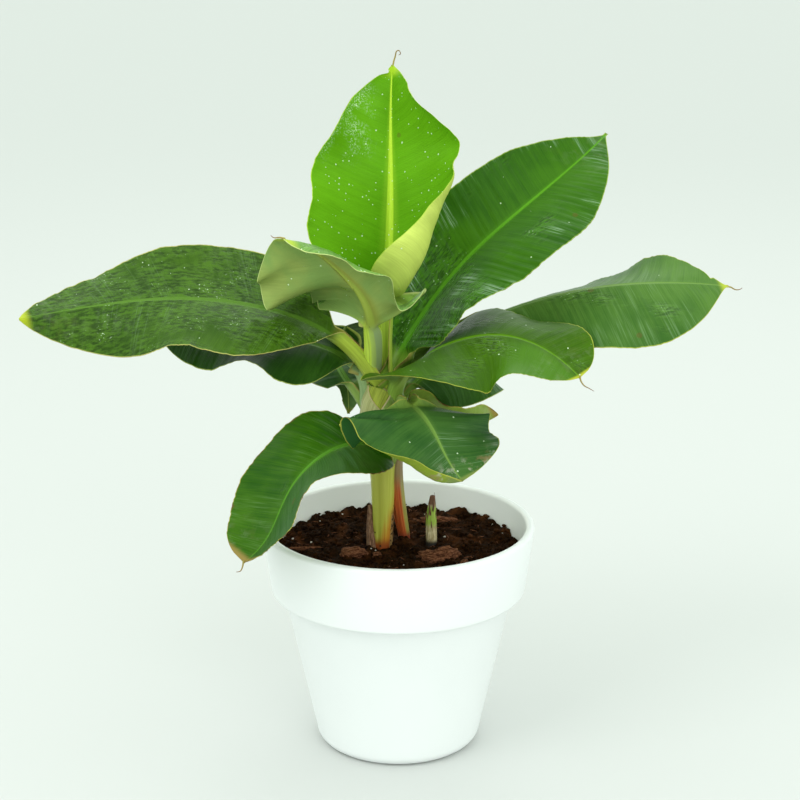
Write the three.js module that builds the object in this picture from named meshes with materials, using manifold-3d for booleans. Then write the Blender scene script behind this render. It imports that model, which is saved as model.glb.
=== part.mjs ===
// A young banana plant in a white glazed pot, in millimetres with +Z up.
// The origin is the middle of the pot's flat underside, and the viewer stands on the -Y side.
import * as THREE from 'three';
import { mergeVertices } from 'three/addons/utils/BufferGeometryUtils.js';
import Module from 'manifold-3d';

const wasm = await Module();
wasm.setup();

// Driving dimensions of the pot
const POT_HEIGHT = 220;
const RIM_RADIUS = 130;
const RIM_LIP = 8.4;
const BAND_BOTTOM = 154;
const BAND_BOTTOM_RADIUS = 122;
const BODY_TOP_RADIUS = 110.5;
const BASE_RADIUS = 77;
const BASE_ROUNDING = 12;
const POT_WALL = 7;
const POT_FLOOR = 10;
const POT_SIDES = 60;

// Rounded lower edge of the band: how far inside its radius and above its bottom each point is
const BAND_EDGE = [[4, 0.5], [1, 1.8], [0, 5]];

// Driving dimensions of the soil
const SOIL_LEVEL = 199;
const SOIL_LUMP = 2.6;
const SOIL_EDGE_DROP = 4;
const SOIL_SIDES = 36;
const SOIL_RINGS = 7;

// Clear space between touching pieces
const GAP = 0.3;

// Driving dimensions of the plant
const STEM_SIDES = 20;
const BLADE_THICKNESS_SHARE = 0.01;
const RIB_DEPTH = 4;
const RIB_DEPTH_AT_TIP = 0.6;
const TIP_HALF_WIDTH = 1.6;
const CURL_POWER = 1.5;
const WAVE_SPREAD = 0.6;
const STALK_FOLD = 25;
const STALK_CURL = 95;
const BASE_BLEND = 0.07;
const STALK_END = 0.1;

// How finely a leaf is cut, and how far its sections crowd towards its two ends
const BLADE_STATIONS = 19;
const END_CROWDING = 0.65;
const STALK_STEP = 24;
const SPINE_STEPS = 160;
const SECTION_STEPS = 12;
const SECTION_PLACES = [0, 0.09, 0.3, 0.55, 0.8, 1];

// Stems as ellipses from the foot up: height, centre x and y, half width along x and y
const PSEUDOSTEM = [
  [188, -15.5, -8, 8.8, 8.8],
  [196, -15.5, -8, 9.2, 9],
  [215, -15, -7.5, 9.8, 9.4],
  [243, -14.5, -7, 10.6, 10.4],
  [270, -14.5, -6, 12, 11.6],
  [298, -15, -5, 16, 14],
  [324, -15, -4, 19, 15.5],
  [342, -14, -3, 17, 14.5],
  [358, -12, -2, 13, 12],
  [368, -11, -1, 8.5, 8],
];
const OLD_SHEATH = [
  [189, 7, 12, 5.5, 5.5],
  [203, 5.5, 10, 5.6, 6.5],
  [222, 2.5, 5, 6.2, 8],
  [243, 0, 1, 6.4, 9],
  [270, -2, -3, 6.4, 9.5],
  [296, -0.5, -5, 5, 8],
  [310, 0, -7, 2.6, 4.5],
];
const DRY_SHEATH = [
  [190, -24.5, -13, 5.5, 6],
  [204, -25, -11, 4.8, 5.5],
  [222, -26, -9.5, 3.2, 4.4],
  [240, -26.2, -8.5, 1.6, 2.6],
];
const SUCKER_STUB = [
  [190, 32, 2, 5.6, 5.6],
  [204, 31.6, 2, 5.2, 5],
  [222, 31.4, 2, 5, 4.6],
  [235, 32.4, 2, 3.6, 3.2],
  [246, 33, 2, 1.8, 1.8],
];

// Leaves. A foot and lengths are in millimetres, and the rest in degrees, as evenly spaced keys.
// A heading is 0 along +X and 90 along +Y; a pitch of 90 is straight up. A positive fold lifts a
// half and a positive curl rolls its margin upwards. An outline is the share of the blade where it
// is widest, and how round its shoulder, its taper and its point are. A wave is depth, count, start.
// A power sets how close to the margin a curl gathers, and a buckle is the place, spread and rise of
// one fold of the margin.
const LEAVES = [
  {
    name: 'leaf_top', foot: [-12, 4, 372], stalk: 56, blade: 229, channel: 12,
    heading: [68, 77, 86, 90, 82], pitch: [101, 73, 71, 72, 62], roll: [4, 1, -8],
    outline: [0.22, 2.05, 2.45, 0.95],
    left: { half: 94, fold: [58, 25, 26], curl: [10, 24, 38], wave: [4, 3.4, -0.15] },
    right: {
      half: 115, fold: [43, 33, 48], curl: [215, 59, 26], wave: [9, 2.25, 0.42], power: 2, buckles: [[0.55, 0.06, 13]],
    },
    colour: 0x6fae1e,
  },
  {
    name: 'leaf_upper_right', foot: [-5, -2, 370], stalk: 15, blade: 309, channel: 11,
    heading: [49, 16, 23, 35, 53], pitch: [55, 52, 37, 30, 24], roll: [8, 10, 13],
    outline: [0.45, 2.25, 2.4, 0.75],
    left: { half: 66, fold: [26, 24, 29], curl: [-4, 12, 10], wave: [3.5, 2.3, 0.4] },
    right: { half: 80, fold: [12, 5, -2], curl: [3, -26, 4], wave: [4, 3.7, 0.3], buckles: [[0, 0.035, -24]] },
  },
  {
    name: 'leaf_right', foot: [-2, 8, 363], stalk: 96, blade: 243, channel: 10,
    heading: [32, 11, -10, -3, 20], pitch: [33, 25, 16, 3, -11], roll: [-18, -3, 10],
    outline: [0.6, 1.8, 2.7, 0.65],
    left: { half: 58, fold: [1, 1, 24], curl: [-10, -5, 6], wave: [2, 2.4, 0.45] },
    right: { half: 77, fold: [-40, -50, -32, -25, -18], curl: [-11, -17, -14], wave: [3, 2.6, 0.15] },
  },
  {
    name: 'leaf_front_right', foot: [-2, -14, 345], stalk: 15, blade: 202, channel: 12,
    heading: [-54, -22, -3, -22, -37], pitch: [76, 39, 11, -18, -39], roll: [-10, -9, 2],
    outline: [0.35, 3.2, 2.4, 2.15],
    left: { half: 66, fold: [-15, 20, 24, 24.5, 27], curl: [3, -30, -3], wave: [6, 2.7, 0.85] },
    right: { half: 79, fold: [6, -27, 0], curl: [3, -12, 7], wave: [6, 1.8, 0.8] },
  },
  {
    name: 'leaf_left', foot: [-27, -9, 366], stalk: 45, blade: 299, channel: 13,
    heading: [178, 185, 181, 191, 201], pitch: [60, 23.5, 5, -5, -7], roll: [6, 0, -17],
    outline: [0.35, 0.8, 1.7, 1.4],
    left: { half: 75, fold: [-17, -20, -21, -43, -71], curl: [-46, -9, -47], wave: [3.5, 2.7, 0.8] },
    right: { half: 69, fold: [38, 32, 34, 18, 0], curl: [38, 7, -6], wave: [3.5, 2.6, 0.75] },
  },
  {
    name: 'leaf_left_back', foot: [-32, 4, 340], stalk: 35, blade: 191, channel: 9,
    heading: [156, 186, 179, 174, 166], pitch: [96, 29, 8, -1, -15], roll: [-10, 4, -5],
    outline: [0.4, 0.8, 2.25, 1.15],
    left: { half: 64, fold: [-40, -14, -38], curl: [-34, -6, -28], wave: [5, 2.5, -0.1] },
    right: { half: 55, fold: [15, 10, 5], curl: [0, 0, 0], wave: [3, 2.5, 0] },
  },
  {
    name: 'leaf_front_arching', foot: [-13, -10, 376], stalk: 54, blade: 139, channel: 13,
    heading: [275, 259, 201, 208, 204], pitch: [60, 52, 53, 40, 16], roll: [4, -4, 13],
    outline: [0.6, 3.6, 3, 1.2],
    left: {
      half: 51, fold: [-38, 58, 39, 17, -3], curl: [15, -28, -58, -39, -70], wave: [3.9, 2.55, 0.08],
      buckles: [[0.11, 0.075, 25], [0.25, 0.075, -23]],
    },
    right: {
      half: 90, fold: [22, 7, -40, -27, 4], curl: [-20, -24, -10, -2, 0], wave: [7.5, 3.72, 0.78],
      buckles: [[0.24, 0.115, -16]],
    },
    colour: 0x7d9a55,
  },
  {
    name: 'leaf_front_low', foot: [4, -20, 325], stalk: 63, blade: 97, channel: 10,
    heading: [274, 279, 296, 315, 313], pitch: [60, 25, -13, -53, -31], roll: [-5, 0, 7],
    outline: [0.28, 0.85, 3.6, 1.65],
    left: { half: 70, fold: [-3, 1, 15], curl: [-16, -10, -6], wave: [5, 2.3, 0.35] },
    right: {
      half: 79, fold: [-15, 0, -4], curl: [-87, 40, 181], wave: [5.6, 1.9, 0.75], power: 3.2,
      buckles: [[0.14, 0.09, 24], [0.22, 0.03, -34], [0.29, 0.05, 21]],
    },
  },
  {
    name: 'leaf_left_drooping', foot: [-26, -12, 296], stalk: 18, blade: 186, channel: 10,
    heading: [270, 225, 206, 208, 214], pitch: [37, 4, -40, -64, -23], roll: [-7, 6, 4],
    outline: [0.5, 1.85, 2.9, 2.45],
    left: { half: 74, fold: [-13, 8, 19], curl: [-10, 2, 8], wave: [5, 2.3, 0.2] },
    right: { half: 67, fold: [31, 17, 16], curl: [7, 0, 5], wave: [5, 1.35, 0.3] },
  },
  {
    name: 'leaf_right_low', foot: [4, -4, 328], stalk: 10, blade: 89, channel: 8,
    heading: [10, -10, -5, 5, 5], pitch: [67, -20, -24, 7, 33], roll: [-20, -15, -28],
    outline: [0.4, 2.25, 2.45, 1.7],
    left: { half: 41, fold: [-8, 8, 22], curl: [-3, 1, 4], wave: [2, 1.35, 0.1] },
    right: { half: 39, fold: [34, 16, 34], curl: [13, 10, 17], wave: [3, 1.9, 0.25] },
  },
  {
    name: 'leaf_back_right', foot: [0, 8, 334], stalk: 20, blade: 150, channel: 9,
    heading: [40, 42, 48, 55, 60], pitch: [48, 22, -10, -35, -50], roll: [0, 0, 0],
    outline: [0.3, 2, 2.2, 1.3],
    left: { half: 45, fold: [5, 0, -10], curl: [-10, -10, -10], wave: [0, 1, 0] },
    right: { half: 48, fold: [-65, -45, -10], curl: [-50, -30, -10], wave: [3, 1.5, 0.2] },
  },
  {
    name: 'leaf_back_left', foot: [-32, 10, 330], stalk: 23, blade: 135, channel: 9,
    heading: [165, 121, 83, 70, 61], pitch: [64, 29, -18, -64, -97], roll: [5, -6, -13],
    outline: [0.25, 2.25, 1.75, 1.1],
    left: { half: 29, fold: [-22, -39, -37], curl: [-15, -35, -26], wave: [7, 1.05, 0.05] },
    right: { half: 46, fold: [0, -9, -7], curl: [-20, -20, -7], wave: [0, 1, 0] },
  },
];

const { cos, sin, exp, PI, min, max, floor, ceil, hypot } = Math;
const rad = (degrees) => (degrees * PI) / 180;

// A smooth run through evenly spaced keys, for t from 0 to 1
function keyed(keys, t) {
  const last = keys.length - 1;
  const x = min(max(t, 0), 1) * last;
  const i = min(floor(x), last - 1);
  const f = x - i;
  const [b, c] = [keys[i], keys[i + 1]];
  const a = i > 0 ? keys[i - 1] : 2 * b - c;
  const d = i < last - 1 ? keys[i + 2] : 2 * c - b;
  return 0.5 * (2 * b + (c - a) * f + (2 * a - 5 * b + 4 * c - d) * f * f + (3 * b - a - 3 * c + d) * f ** 3);
}

// A closed mesh through rings of equal length; capTriangles names the triangles of an end
function loft(rings, capTriangles) {
  const count = rings[0].length;
  const positions = rings.flat().flatMap((p) => [p.x, p.y, p.z]);
  const index = [];
  for (let r = 0; r < rings.length - 1; r++) {
    for (let i = 0; i < count; i++) {
      const a = r * count + i;
      const b = r * count + ((i + 1) % count);
      index.push(a, b, b + count, a, b + count, a + count);
    }
  }
  const lastRing = (rings.length - 1) * count;
  for (const [a, b, c] of capTriangles(count)) {
    index.push(c, b, a, lastRing + a, lastRing + b, lastRing + c);
  }
  const geometry = new THREE.BufferGeometry();
  geometry.setAttribute('position', new THREE.Float32BufferAttribute(positions, 3));
  geometry.setIndex(index);
  return geometry;
}

// An end of a round piece: a fan over the ring
function fanCap(count) {
  return Array.from({ length: count - 2 }, (_, i) => [0, i + 1, i + 2]);
}

// An end of a leaf: a strip between the ring's upper and lower points
function stripCap(count) {
  const triangles = [];
  for (let i = 0; i < count / 2 - 1; i++) {
    const [a, b, c, d] = [i, i + 1, count - 2 - i, count - 1 - i];
    triangles.push([a, b, c], [a, c, d]);
  }
  return triangles;
}

// Booleans work on solids with merged vertices
function toSolid(geometry) {
  const bare = geometry.clone();
  bare.deleteAttribute('normal');
  bare.deleteAttribute('uv');
  const merged = mergeVertices(bare, 1e-4);
  return new wasm.Manifold(new wasm.Mesh({
    numProp: 3,
    vertProperties: new Float32Array(merged.attributes.position.array),
    triVerts: new Uint32Array(merged.index.array),
  }));
}

function toGeometry(solid) {
  const mesh = solid.getMesh();
  const geometry = new THREE.BufferGeometry();
  geometry.setAttribute('position', new THREE.Float32BufferAttribute(mesh.vertProperties, 3));
  geometry.setIndex(new THREE.Uint32BufferAttribute(mesh.triVerts, 1));
  geometry.computeVertexNormals();
  return geometry;
}

// What a cut leaves of a piece: its largest body, without loose scraps
function largestPart(solid) {
  return solid.decompose().reduce((a, b) => (b.volume() > a.volume() ? b : a));
}

// A round stem through ellipses, made wider all round by grow
function stemGeometry(ellipses, grow = 0) {
  const rings = ellipses.map(([z, cx, cy, rx, ry], i) => {
    const end = i === 0 ? -grow : i === ellipses.length - 1 ? grow : 0;
    return Array.from({ length: STEM_SIDES }, (_, k) => {
      const a = (2 * PI * k) / STEM_SIDES;
      return new THREE.Vector3(cx + (rx + grow) * cos(a), cy + (ry + grow) * sin(a), z + end);
    });
  });
  return loft(rings, fanCap);
}

// Middle line of a leaf from its foot through stalk and blade
function spineOf(leaf) {
  const length = leaf.stalk + leaf.blade;
  const points = [new THREE.Vector3(...leaf.foot)];
  for (let i = 0; i < SPINE_STEPS; i++) {
    const s = (i + 0.5) / SPINE_STEPS;
    const step = directionAt(leaf, s).multiplyScalar(length / SPINE_STEPS);
    points.push(points[i].clone().add(step));
  }
  return points;
}

function directionAt(leaf, s) {
  const a = rad(keyed(leaf.heading, s));
  const p = rad(keyed(leaf.pitch, s));
  return new THREE.Vector3(cos(p) * cos(a), cos(p) * sin(a), sin(p));
}

// Share of the half width at v along the blade: a round shoulder, then a point
function outlineShare([widest, shoulder, taper, point], v) {
  if (v < widest) return (1 - (1 - v / widest) ** 2) ** (1 / shoulder);
  return max(0, 1 - ((v - widest) / (1 - widest)) ** taper) ** (1 / point);
}

// One half of a leaf's section at v: across and up from the middle line, and the slope there
function halfSection(leaf, half, v, u) {
  const onStalk = max(0, min(1, 1 - v / BASE_BLEND));
  const ease = onStalk * onStalk * (3 - 2 * onStalk);
  const share = v < 0 ? 0 : outlineShare(leaf.outline, v);
  const width = max(half.half * share, TIP_HALF_WIDTH) * (1 - ease) + leaf.channel * ease;
  const fold = rad(keyed(half.fold, v) * (1 - ease) + STALK_FOLD * ease);
  const curl = rad(keyed(half.curl, v) * (1 - ease) + STALK_CURL * ease);
  const power = half.power ?? CURL_POWER;
  let across = 0;
  let up = 0;
  for (let i = 0; i < SECTION_STEPS; i++) {
    const slope = fold + curl * ((u * (i + 0.5)) / SECTION_STEPS) ** power;
    across += (cos(slope) * u * width) / SECTION_STEPS;
    up += (sin(slope) * u * width) / SECTION_STEPS;
  }
  const slope = fold + curl * u ** power;
  const [depth, count, start] = half.wave;
  const inBlade = min(max(v, 0), 1);
  let swell = depth * sin(PI * inBlade) ** WAVE_SPREAD * sin(2 * PI * (count * v + start));
  for (const [place, spread, rise] of half.buckles ?? []) swell += rise * exp(-(((v - place) / spread) ** 2));
  const lift = swell * u * u;
  return { across: across - lift * sin(slope), up: up + lift * cos(slope), slope };
}

// The ring of a leaf at v: upper face from the left margin to the right, then the lower face back
function leafRing(leaf, spine, v, grow) {
  const length = leaf.stalk + leaf.blade;
  const s = (leaf.stalk + v * leaf.blade) / length;
  const x = min(max(s, 0), 1) * SPINE_STEPS;
  const i = min(floor(x), SPINE_STEPS - 1);
  const middle = spine[i].clone().lerp(spine[i + 1], x - i);
  const along = directionAt(leaf, s);
  const heading = rad(keyed(leaf.heading, s));
  const level = new THREE.Vector3(-sin(heading), cos(heading), 0);
  const roll = rad(keyed(leaf.roll, v));
  const side = level.clone().applyAxisAngle(along, roll);
  const normal = along.clone().cross(side);
  const thickness = length * BLADE_THICKNESS_SHARE;
  const rib = RIB_DEPTH + (RIB_DEPTH_AT_TIP - RIB_DEPTH) * min(max(v, 0), 1);
  const upper = [];
  const lower = [];
  for (const [half, sign] of [[leaf.left, 1], [leaf.right, -1]]) {
    const places = sign > 0 ? [...SECTION_PLACES].reverse() : SECTION_PLACES.slice(1);
    for (const u of places) {
      const { across, up, slope } = halfSection(leaf, half, v, u);
      const ribHere = u === 0 ? rib : u === SECTION_PLACES[1] ? rib / 2 : 0;
      const outward = u === 1 ? grow : 0;
      const place = (a, b) => middle.clone().addScaledVector(side, sign * a).addScaledVector(normal, b);
      const lean = u === 0 ? 0 : slope;
      const [c, n] = [cos(lean), sin(lean)];
      const below = thickness + ribHere + grow;
      upper.push(place(across - n * grow + c * outward, up + c * grow + n * outward));
      lower.push(place(across + n * below + c * outward, up - c * below + n * outward));
    }
  }
  return [...upper, ...lower.reverse()];
}

// Stalk and blade as one closed body; grow makes it thicker all round, and end is where it stops
function leafGeometry(leaf, grow = 0, end = 1) {
  const spine = spineOf(leaf);
  const stalkSteps = max(2, ceil(leaf.stalk / STALK_STEP));
  const stations = [];
  for (let i = 0; i < stalkSteps; i++) stations.push((-leaf.stalk / leaf.blade) * (1 - i / stalkSteps));
  for (let i = 0; i <= BLADE_STATIONS; i++) {
    const t = i / BLADE_STATIONS;
    const crowded = (1 - cos(PI * t)) / 2;
    stations.push(end * ((1 - END_CROWDING) * t + END_CROWDING * crowded));
  }
  return loft(stations.map((v) => leafRing(leaf, spine, v, grow)), stripCap);
}

// The pot's section, from the middle of the underside up the outside, over the lip and down inside
function potProfile() {
  const slope = (BODY_TOP_RADIUS - BASE_RADIUS) / BAND_BOTTOM;
  const points = [new THREE.Vector2(0, 0), new THREE.Vector2(BASE_RADIUS - BASE_ROUNDING, 0)];
  const corner = BASE_RADIUS + slope * BASE_ROUNDING;
  for (const turn of [30, 60, 90]) {
    const r = BASE_RADIUS - BASE_ROUNDING + (corner - BASE_RADIUS + BASE_ROUNDING) * sin(rad(turn));
    points.push(new THREE.Vector2(r, BASE_ROUNDING * (1 - cos(rad(turn)))));
  }
  points.push(new THREE.Vector2(BODY_TOP_RADIUS, BAND_BOTTOM));
  for (const [inside, above] of BAND_EDGE) {
    points.push(new THREE.Vector2(BAND_BOTTOM_RADIUS - inside, BAND_BOTTOM + above));
  }
  const lipMiddle = RIM_RADIUS - RIM_LIP / 2;
  for (const turn of [0, 30, 60, 90, 120, 150, 180]) {
    const r = lipMiddle + (RIM_LIP / 2) * cos(rad(turn));
    points.push(new THREE.Vector2(r, POT_HEIGHT - RIM_LIP / 2 + (RIM_LIP / 2) * sin(rad(turn))));
  }
  points.push(new THREE.Vector2(BODY_TOP_RADIUS - POT_WALL, BAND_BOTTOM));
  points.push(new THREE.Vector2(innerRadius(POT_FLOOR), POT_FLOOR));
  points.push(new THREE.Vector2(0, POT_FLOOR));
  return points;
}

// Radius of the pot's inside at a height
function innerRadius(z) {
  const atBand = BODY_TOP_RADIUS - POT_WALL;
  if (z < BAND_BOTTOM) return atBand - ((BODY_TOP_RADIUS - BASE_RADIUS) / BAND_BOTTOM) * (BAND_BOTTOM - z);
  const lipInside = RIM_RADIUS - RIM_LIP;
  return atBand + ((lipInside - atBand) * (z - BAND_BOTTOM)) / (POT_HEIGHT - RIM_LIP / 2 - BAND_BOTTOM);
}

function potGeometry() {
  return new THREE.LatheGeometry(potProfile(), POT_SIDES).rotateX(PI / 2);
}

// Height of the lumpy soil at a place
function soilHeight(x, y) {
  const lumps = sin(x * 0.11 + 1) * cos(y * 0.13) + 0.6 * sin(x * 0.23 + y * 0.19) + 0.4 * cos(y * 0.31 - x * 0.07);
  return SOIL_LEVEL + SOIL_LUMP * lumps - (SOIL_EDGE_DROP * hypot(x, y)) / RIM_RADIUS;
}

function soilGeometry() {
  const ring = (radius, height) => Array.from({ length: SOIL_SIDES }, (_, k) => {
    const a = (2 * PI * k) / SOIL_SIDES;
    const [x, y] = [radius * cos(a), radius * sin(a)];
    return new THREE.Vector3(x, y, height(x, y));
  });
  const bottom = POT_FLOOR + GAP;
  const wallGap = 2 * GAP;
  const edge = innerRadius(SOIL_LEVEL - 2 * SOIL_EDGE_DROP) - wallGap;
  const rings = [
    ring(innerRadius(bottom) - wallGap, () => bottom),
    ring(innerRadius(BAND_BOTTOM) - wallGap, () => BAND_BOTTOM),
  ];
  for (let i = SOIL_RINGS; i > 0; i--) rings.push(ring((edge * i) / SOIL_RINGS, soilHeight));
  return loft(rings, fanCap);
}

// Materials: colour, roughness
const WHITE_GLAZE = [0xf2f4f6, 0.32];
const PEAT = [0x2a1a12, 0.95];
const GREEN_STEM = [0xa9b544, 0.5];
const RED_SHEATH = [0xb5623c, 0.55];
const DRY_BROWN = [0x9c6b45, 0.85];
const STUB_CREAM = [0xb9a878, 0.8];
const LEAF_GREEN = [0x2f6a2a, 0.4];

const group = new THREE.Group();

function add(name, geometry, [color, roughness]) {
  const mesh = new THREE.Mesh(geometry, new THREE.MeshStandardMaterial({ color, roughness, metalness: 0 }));
  mesh.name = name;
  group.add(mesh);
}

const stemSolid = toSolid(stemGeometry(PSEUDOSTEM));
const stemSocket = toSolid(stemGeometry(PSEUDOSTEM, GAP));
const oldSheath = largestPart(toSolid(stemGeometry(OLD_SHEATH)).subtract(stemSocket));
const drySheath = largestPart(toSolid(stemGeometry(DRY_SHEATH)).subtract(stemSocket));
const sockets = [PSEUDOSTEM, OLD_SHEATH, DRY_SHEATH, SUCKER_STUB].map((stem) => toSolid(stemGeometry(stem, GAP)));
const soil = sockets.reduce((solid, socket) => solid.subtract(socket), toSolid(soilGeometry()));

add('pot', toGeometry(toSolid(potGeometry())), WHITE_GLAZE);
add('soil', toGeometry(largestPart(soil)), PEAT);
add('pseudostem', toGeometry(stemSolid), GREEN_STEM);
add('old_sheath', toGeometry(oldSheath), RED_SHEATH);
add('dry_sheath', toGeometry(drySheath), DRY_BROWN);
add('sucker_stub', toGeometry(toSolid(stemGeometry(SUCKER_STUB))), STUB_CREAM);

// Each stalk is cut clear of the stem and of the stalks listed before it
let taken = stemSocket;
for (const leaf of LEAVES) {
  const solid = toSolid(leafGeometry(leaf)).subtract(taken);
  add(leaf.name, toGeometry(largestPart(solid)), [leaf.colour ?? LEAF_GREEN[0], LEAF_GREEN[1]]);
  taken = taken.add(toSolid(leafGeometry(leaf, GAP, STALK_END)));
}

export default group;
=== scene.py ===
"""Looks of a young banana plant in a white glazed pot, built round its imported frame.

The frame is in metres with +Z up, the middle of the pot's underside is the origin, and the viewer
is on the -Y side. Shapes are worked out in millimetres, and add_piece brings them to metres.
"""
import random
from math import ceil, cos, exp, hypot, pi, radians, sin, sqrt
from types import SimpleNamespace

import bmesh
import bpy
from mathutils import Matrix, Vector, noise


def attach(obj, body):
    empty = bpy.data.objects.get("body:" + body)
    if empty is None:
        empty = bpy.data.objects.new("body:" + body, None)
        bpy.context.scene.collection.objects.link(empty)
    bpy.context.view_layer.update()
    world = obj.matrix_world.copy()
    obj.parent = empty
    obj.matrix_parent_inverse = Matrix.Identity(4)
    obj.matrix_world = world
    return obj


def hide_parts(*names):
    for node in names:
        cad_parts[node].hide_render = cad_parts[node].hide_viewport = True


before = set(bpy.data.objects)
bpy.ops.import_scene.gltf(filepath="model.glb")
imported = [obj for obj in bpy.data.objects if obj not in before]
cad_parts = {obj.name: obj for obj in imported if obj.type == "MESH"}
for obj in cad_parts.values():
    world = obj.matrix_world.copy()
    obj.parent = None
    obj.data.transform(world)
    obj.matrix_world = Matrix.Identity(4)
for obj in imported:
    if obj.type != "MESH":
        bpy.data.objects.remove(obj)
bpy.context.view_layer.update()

MM = 0.001
UP = Vector((0, 0, 1))

# Camera: metres, degrees and millimetres of lens
CAMERA_PLACE = (0.0017, -1.697, 0.836)
CAMERA_DIP = 16.27
CAMERA_LENS = 84.82
FILM_WIDTH = 36

# Floor and light: half width in metres, colours, then each lamp's place, size and watts
FLOOR_SIZE = 30
FLOOR_GREY = (0.59, 0.6, 0.59)
ROOM_COLOUR = (0.91, 1.0, 0.93, 1)
ROOM_STRENGTH = 1.34
LAMP_AIM = (0, 0, 0.3)
LAMPS = {
    "front": ((0.9, -2.1, 1.3), 1.3, 11),
    "window": ((-1.2, -1.3, 2.4), 1.2, 16),
    "back": ((0.4, 1.8, 2.2), 1.4, 7),
}

# Pot
POT_HEIGHT = 220
RIM_RADIUS = 130
RIM_LIP = 8.4
BAND_BOTTOM = 154
BAND_BOTTOM_RADIUS = 122
BODY_TOP_RADIUS = 110.5
BASE_RADIUS = 77
BASE_ROUNDING = 12
POT_WALL = 7
POT_FLOOR = 10
POT_STEPS = 160
BAND_EDGE = 4
BAND_UNDERCUT = 1.6
INSIDE_HEIGHTS = (200, 180, BAND_BOTTOM, 80, POT_FLOOR + 6)

# Soil
SOIL_LEVEL = 199
SOIL_LUMP = 2.6
SOIL_EDGE_DROP = 4
SOIL_CELLS = 150
SOIL_WALL_GAP = 0.5
SOIL_SIDE = 30
CLOD_SIZE, CLOD_RISE = 9, 3.2
CRUMB_SIZE, CRUMB_RISE = 3.6, 1.5
GRIT_SIZE, GRIT_RISE = 7, 1.2
SOIL_SEED = 5
# Loose crumbs and perlite: how many, their least and greatest size, and how flat they are
CRUMBS = (1100, (1.5, 6.5), 0.75)
PERLITE = (40, (0.8, 2.8), 0.9)
CRUMB_GAP = 2
CRUMB_STRETCH = (0.7, 1.25)
CRUMB_RISEN = 0.2
LUMP_ROUGHNESS = 0.45
LUMP_GRAIN = 2.2
BARK_RISE = 0.35
FIBRE_COUNT = 110
FIBRE_GAP = 12
FIBRE_RISE = 0.8
FIBRE_SIZES = [(2.5, 7), (0.3, 0.7), (0.3, 0.6)]

# Leaves
RIB_DEPTH = 4
RIB_DEPTH_AT_TIP = 0.6
RIB_HALF_WIDTH = 4.2
RIB_HALF_WIDTH_AT_TIP = 0.9
# Share of the midrib's half width that has its colour, at its base and at its tip
RIB_SHOWN = (0.85, 0.7)
BLADE_THICKNESS = 0.55
STALK_THICKNESS = 4.2
STALK_MARGIN = 0.9
TIP_HALF_WIDTH = 1.6
CURL_POWER = 1.5
WAVE_SPREAD = 0.6
STALK_FOLD = 25
STALK_CURL = 95
BASE_BLEND = 0.07
RIB_TAPER = 0.9
RIB_ROUNDNESS = 0.7
MARGIN_REACH = 3
VEIN_SWEEP = 0.3
RIDGE_SPACING = 3.2
RIDGE_LENGTH = 60
# Where ridges and bumps set in: from the midrib in millimetres, and as shares of the blade at both ends
RIDGES_OUT = (2, 10)
RIDGES_FROM_BASE = 0.1
RIDGES_TO_TIP = 0.93
# Bumps of the skin: height, how close to the margin they gather, length, width and seed
SKIN_BUMPS = [(1.3, 1, 42, 34, 7.3), (0.8, 5, 11, 40, 3.1)]
GROOVE_SHARE = 0.3
MARGIN_THINNING = 0.6
LEAN_FADE = (0.8, 2)
SHAPE_SEED_STEP = 11.7
LOOK_SEED_STEP = 0.37
SPINE_STEPS = 160
ROW_STEP = 1.3
STALK_STEP = 3.0
FOOT_STEPS = [(3, 0.6), (4, 1.6), (5, 2.8), (6, 4)]
STEM_TOP_MIDDLE = (-12, -2)
HALF_SHARES = [0, .012, .025, .04, .06, .085, .12, .16, .2, .25, .3, .35, .4, .45, .5, .55, .6, .65,
               .7, .75, .8, .85, .9, .94, .97, .99, 1]

# Stems as ellipses from the foot up: height, centre x and y, half width along x and y
PSEUDOSTEM = [
    (188, -15.5, -8, 8.8, 8.8), (196, -15.5, -8, 9.2, 9), (215, -15, -7.5, 9.8, 9.4),
    (243, -14.5, -7, 10.6, 10.4), (270, -14.5, -6, 12, 11.6), (298, -15, -5, 16, 14),
    (324, -15, -4, 19, 15.5), (342, -14, -3, 17, 14.5), (358, -12, -2, 13, 12), (368, -11, -1, 8.5, 8),
]
OLD_SHEATH = [
    (189, 7, 12, 5.5, 5.5), (203, 5.5, 10, 5.6, 6.5), (222, 2.5, 5, 6.2, 8), (243, 0, 1, 6.4, 9),
    (270, -2, -3, 6.4, 9.5), (296, -0.5, -5, 5, 8), (310, 0, -7, 2.6, 4.5),
]
DRY_SHEATH = [
    (190, -24.5, -13, 5.5, 6), (204, -25, -11, 4.8, 5.5), (222, -26, -9.5, 3.2, 4.4),
    (240, -26.2, -8.5, 1.6, 2.6),
]
SUCKER_STUB = [
    (190, 32, 2, 5.6, 5.6), (204, 31.6, 2, 5.2, 5), (222, 31.4, 2, 5, 4.6), (235, 32.4, 2, 3.6, 3.2),
    (246, 33, 2, 1.8, 1.8),
]

STEM_RIDGES = 3
STEM_RIDGE_LENGTH = 60
# How each of these is cut: sides, rows, depth of its ridges and seed
STEM_CUTS = {
    "stem": (72, 90, 0.5, 1), "red_sheath": (48, 70, 0.5, 5),
    "papery_sheath": (40, 50, 0.9, 9), "cut_shoot": (40, 50, 0.9, 13),
}

# Dry shreds on the side shoot: which way each faces, its foot, its height and its lean outwards
STUB_MIDDLE = (31.8, 2)
STUB_SHREDS = [
    (185, 214, 14, 10), (215, 220, 11, 14), (250, 226, 12, 9), (160, 205, 15, 12), (300, 230, 13, 4),
    (20, 234, 14, -4), (340, 222, 10, 8), (270, 208, 13, 9), (95, 230, 12, 6), (50, 212, 12, 10),
]
SHRED_SEED = 11
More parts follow.
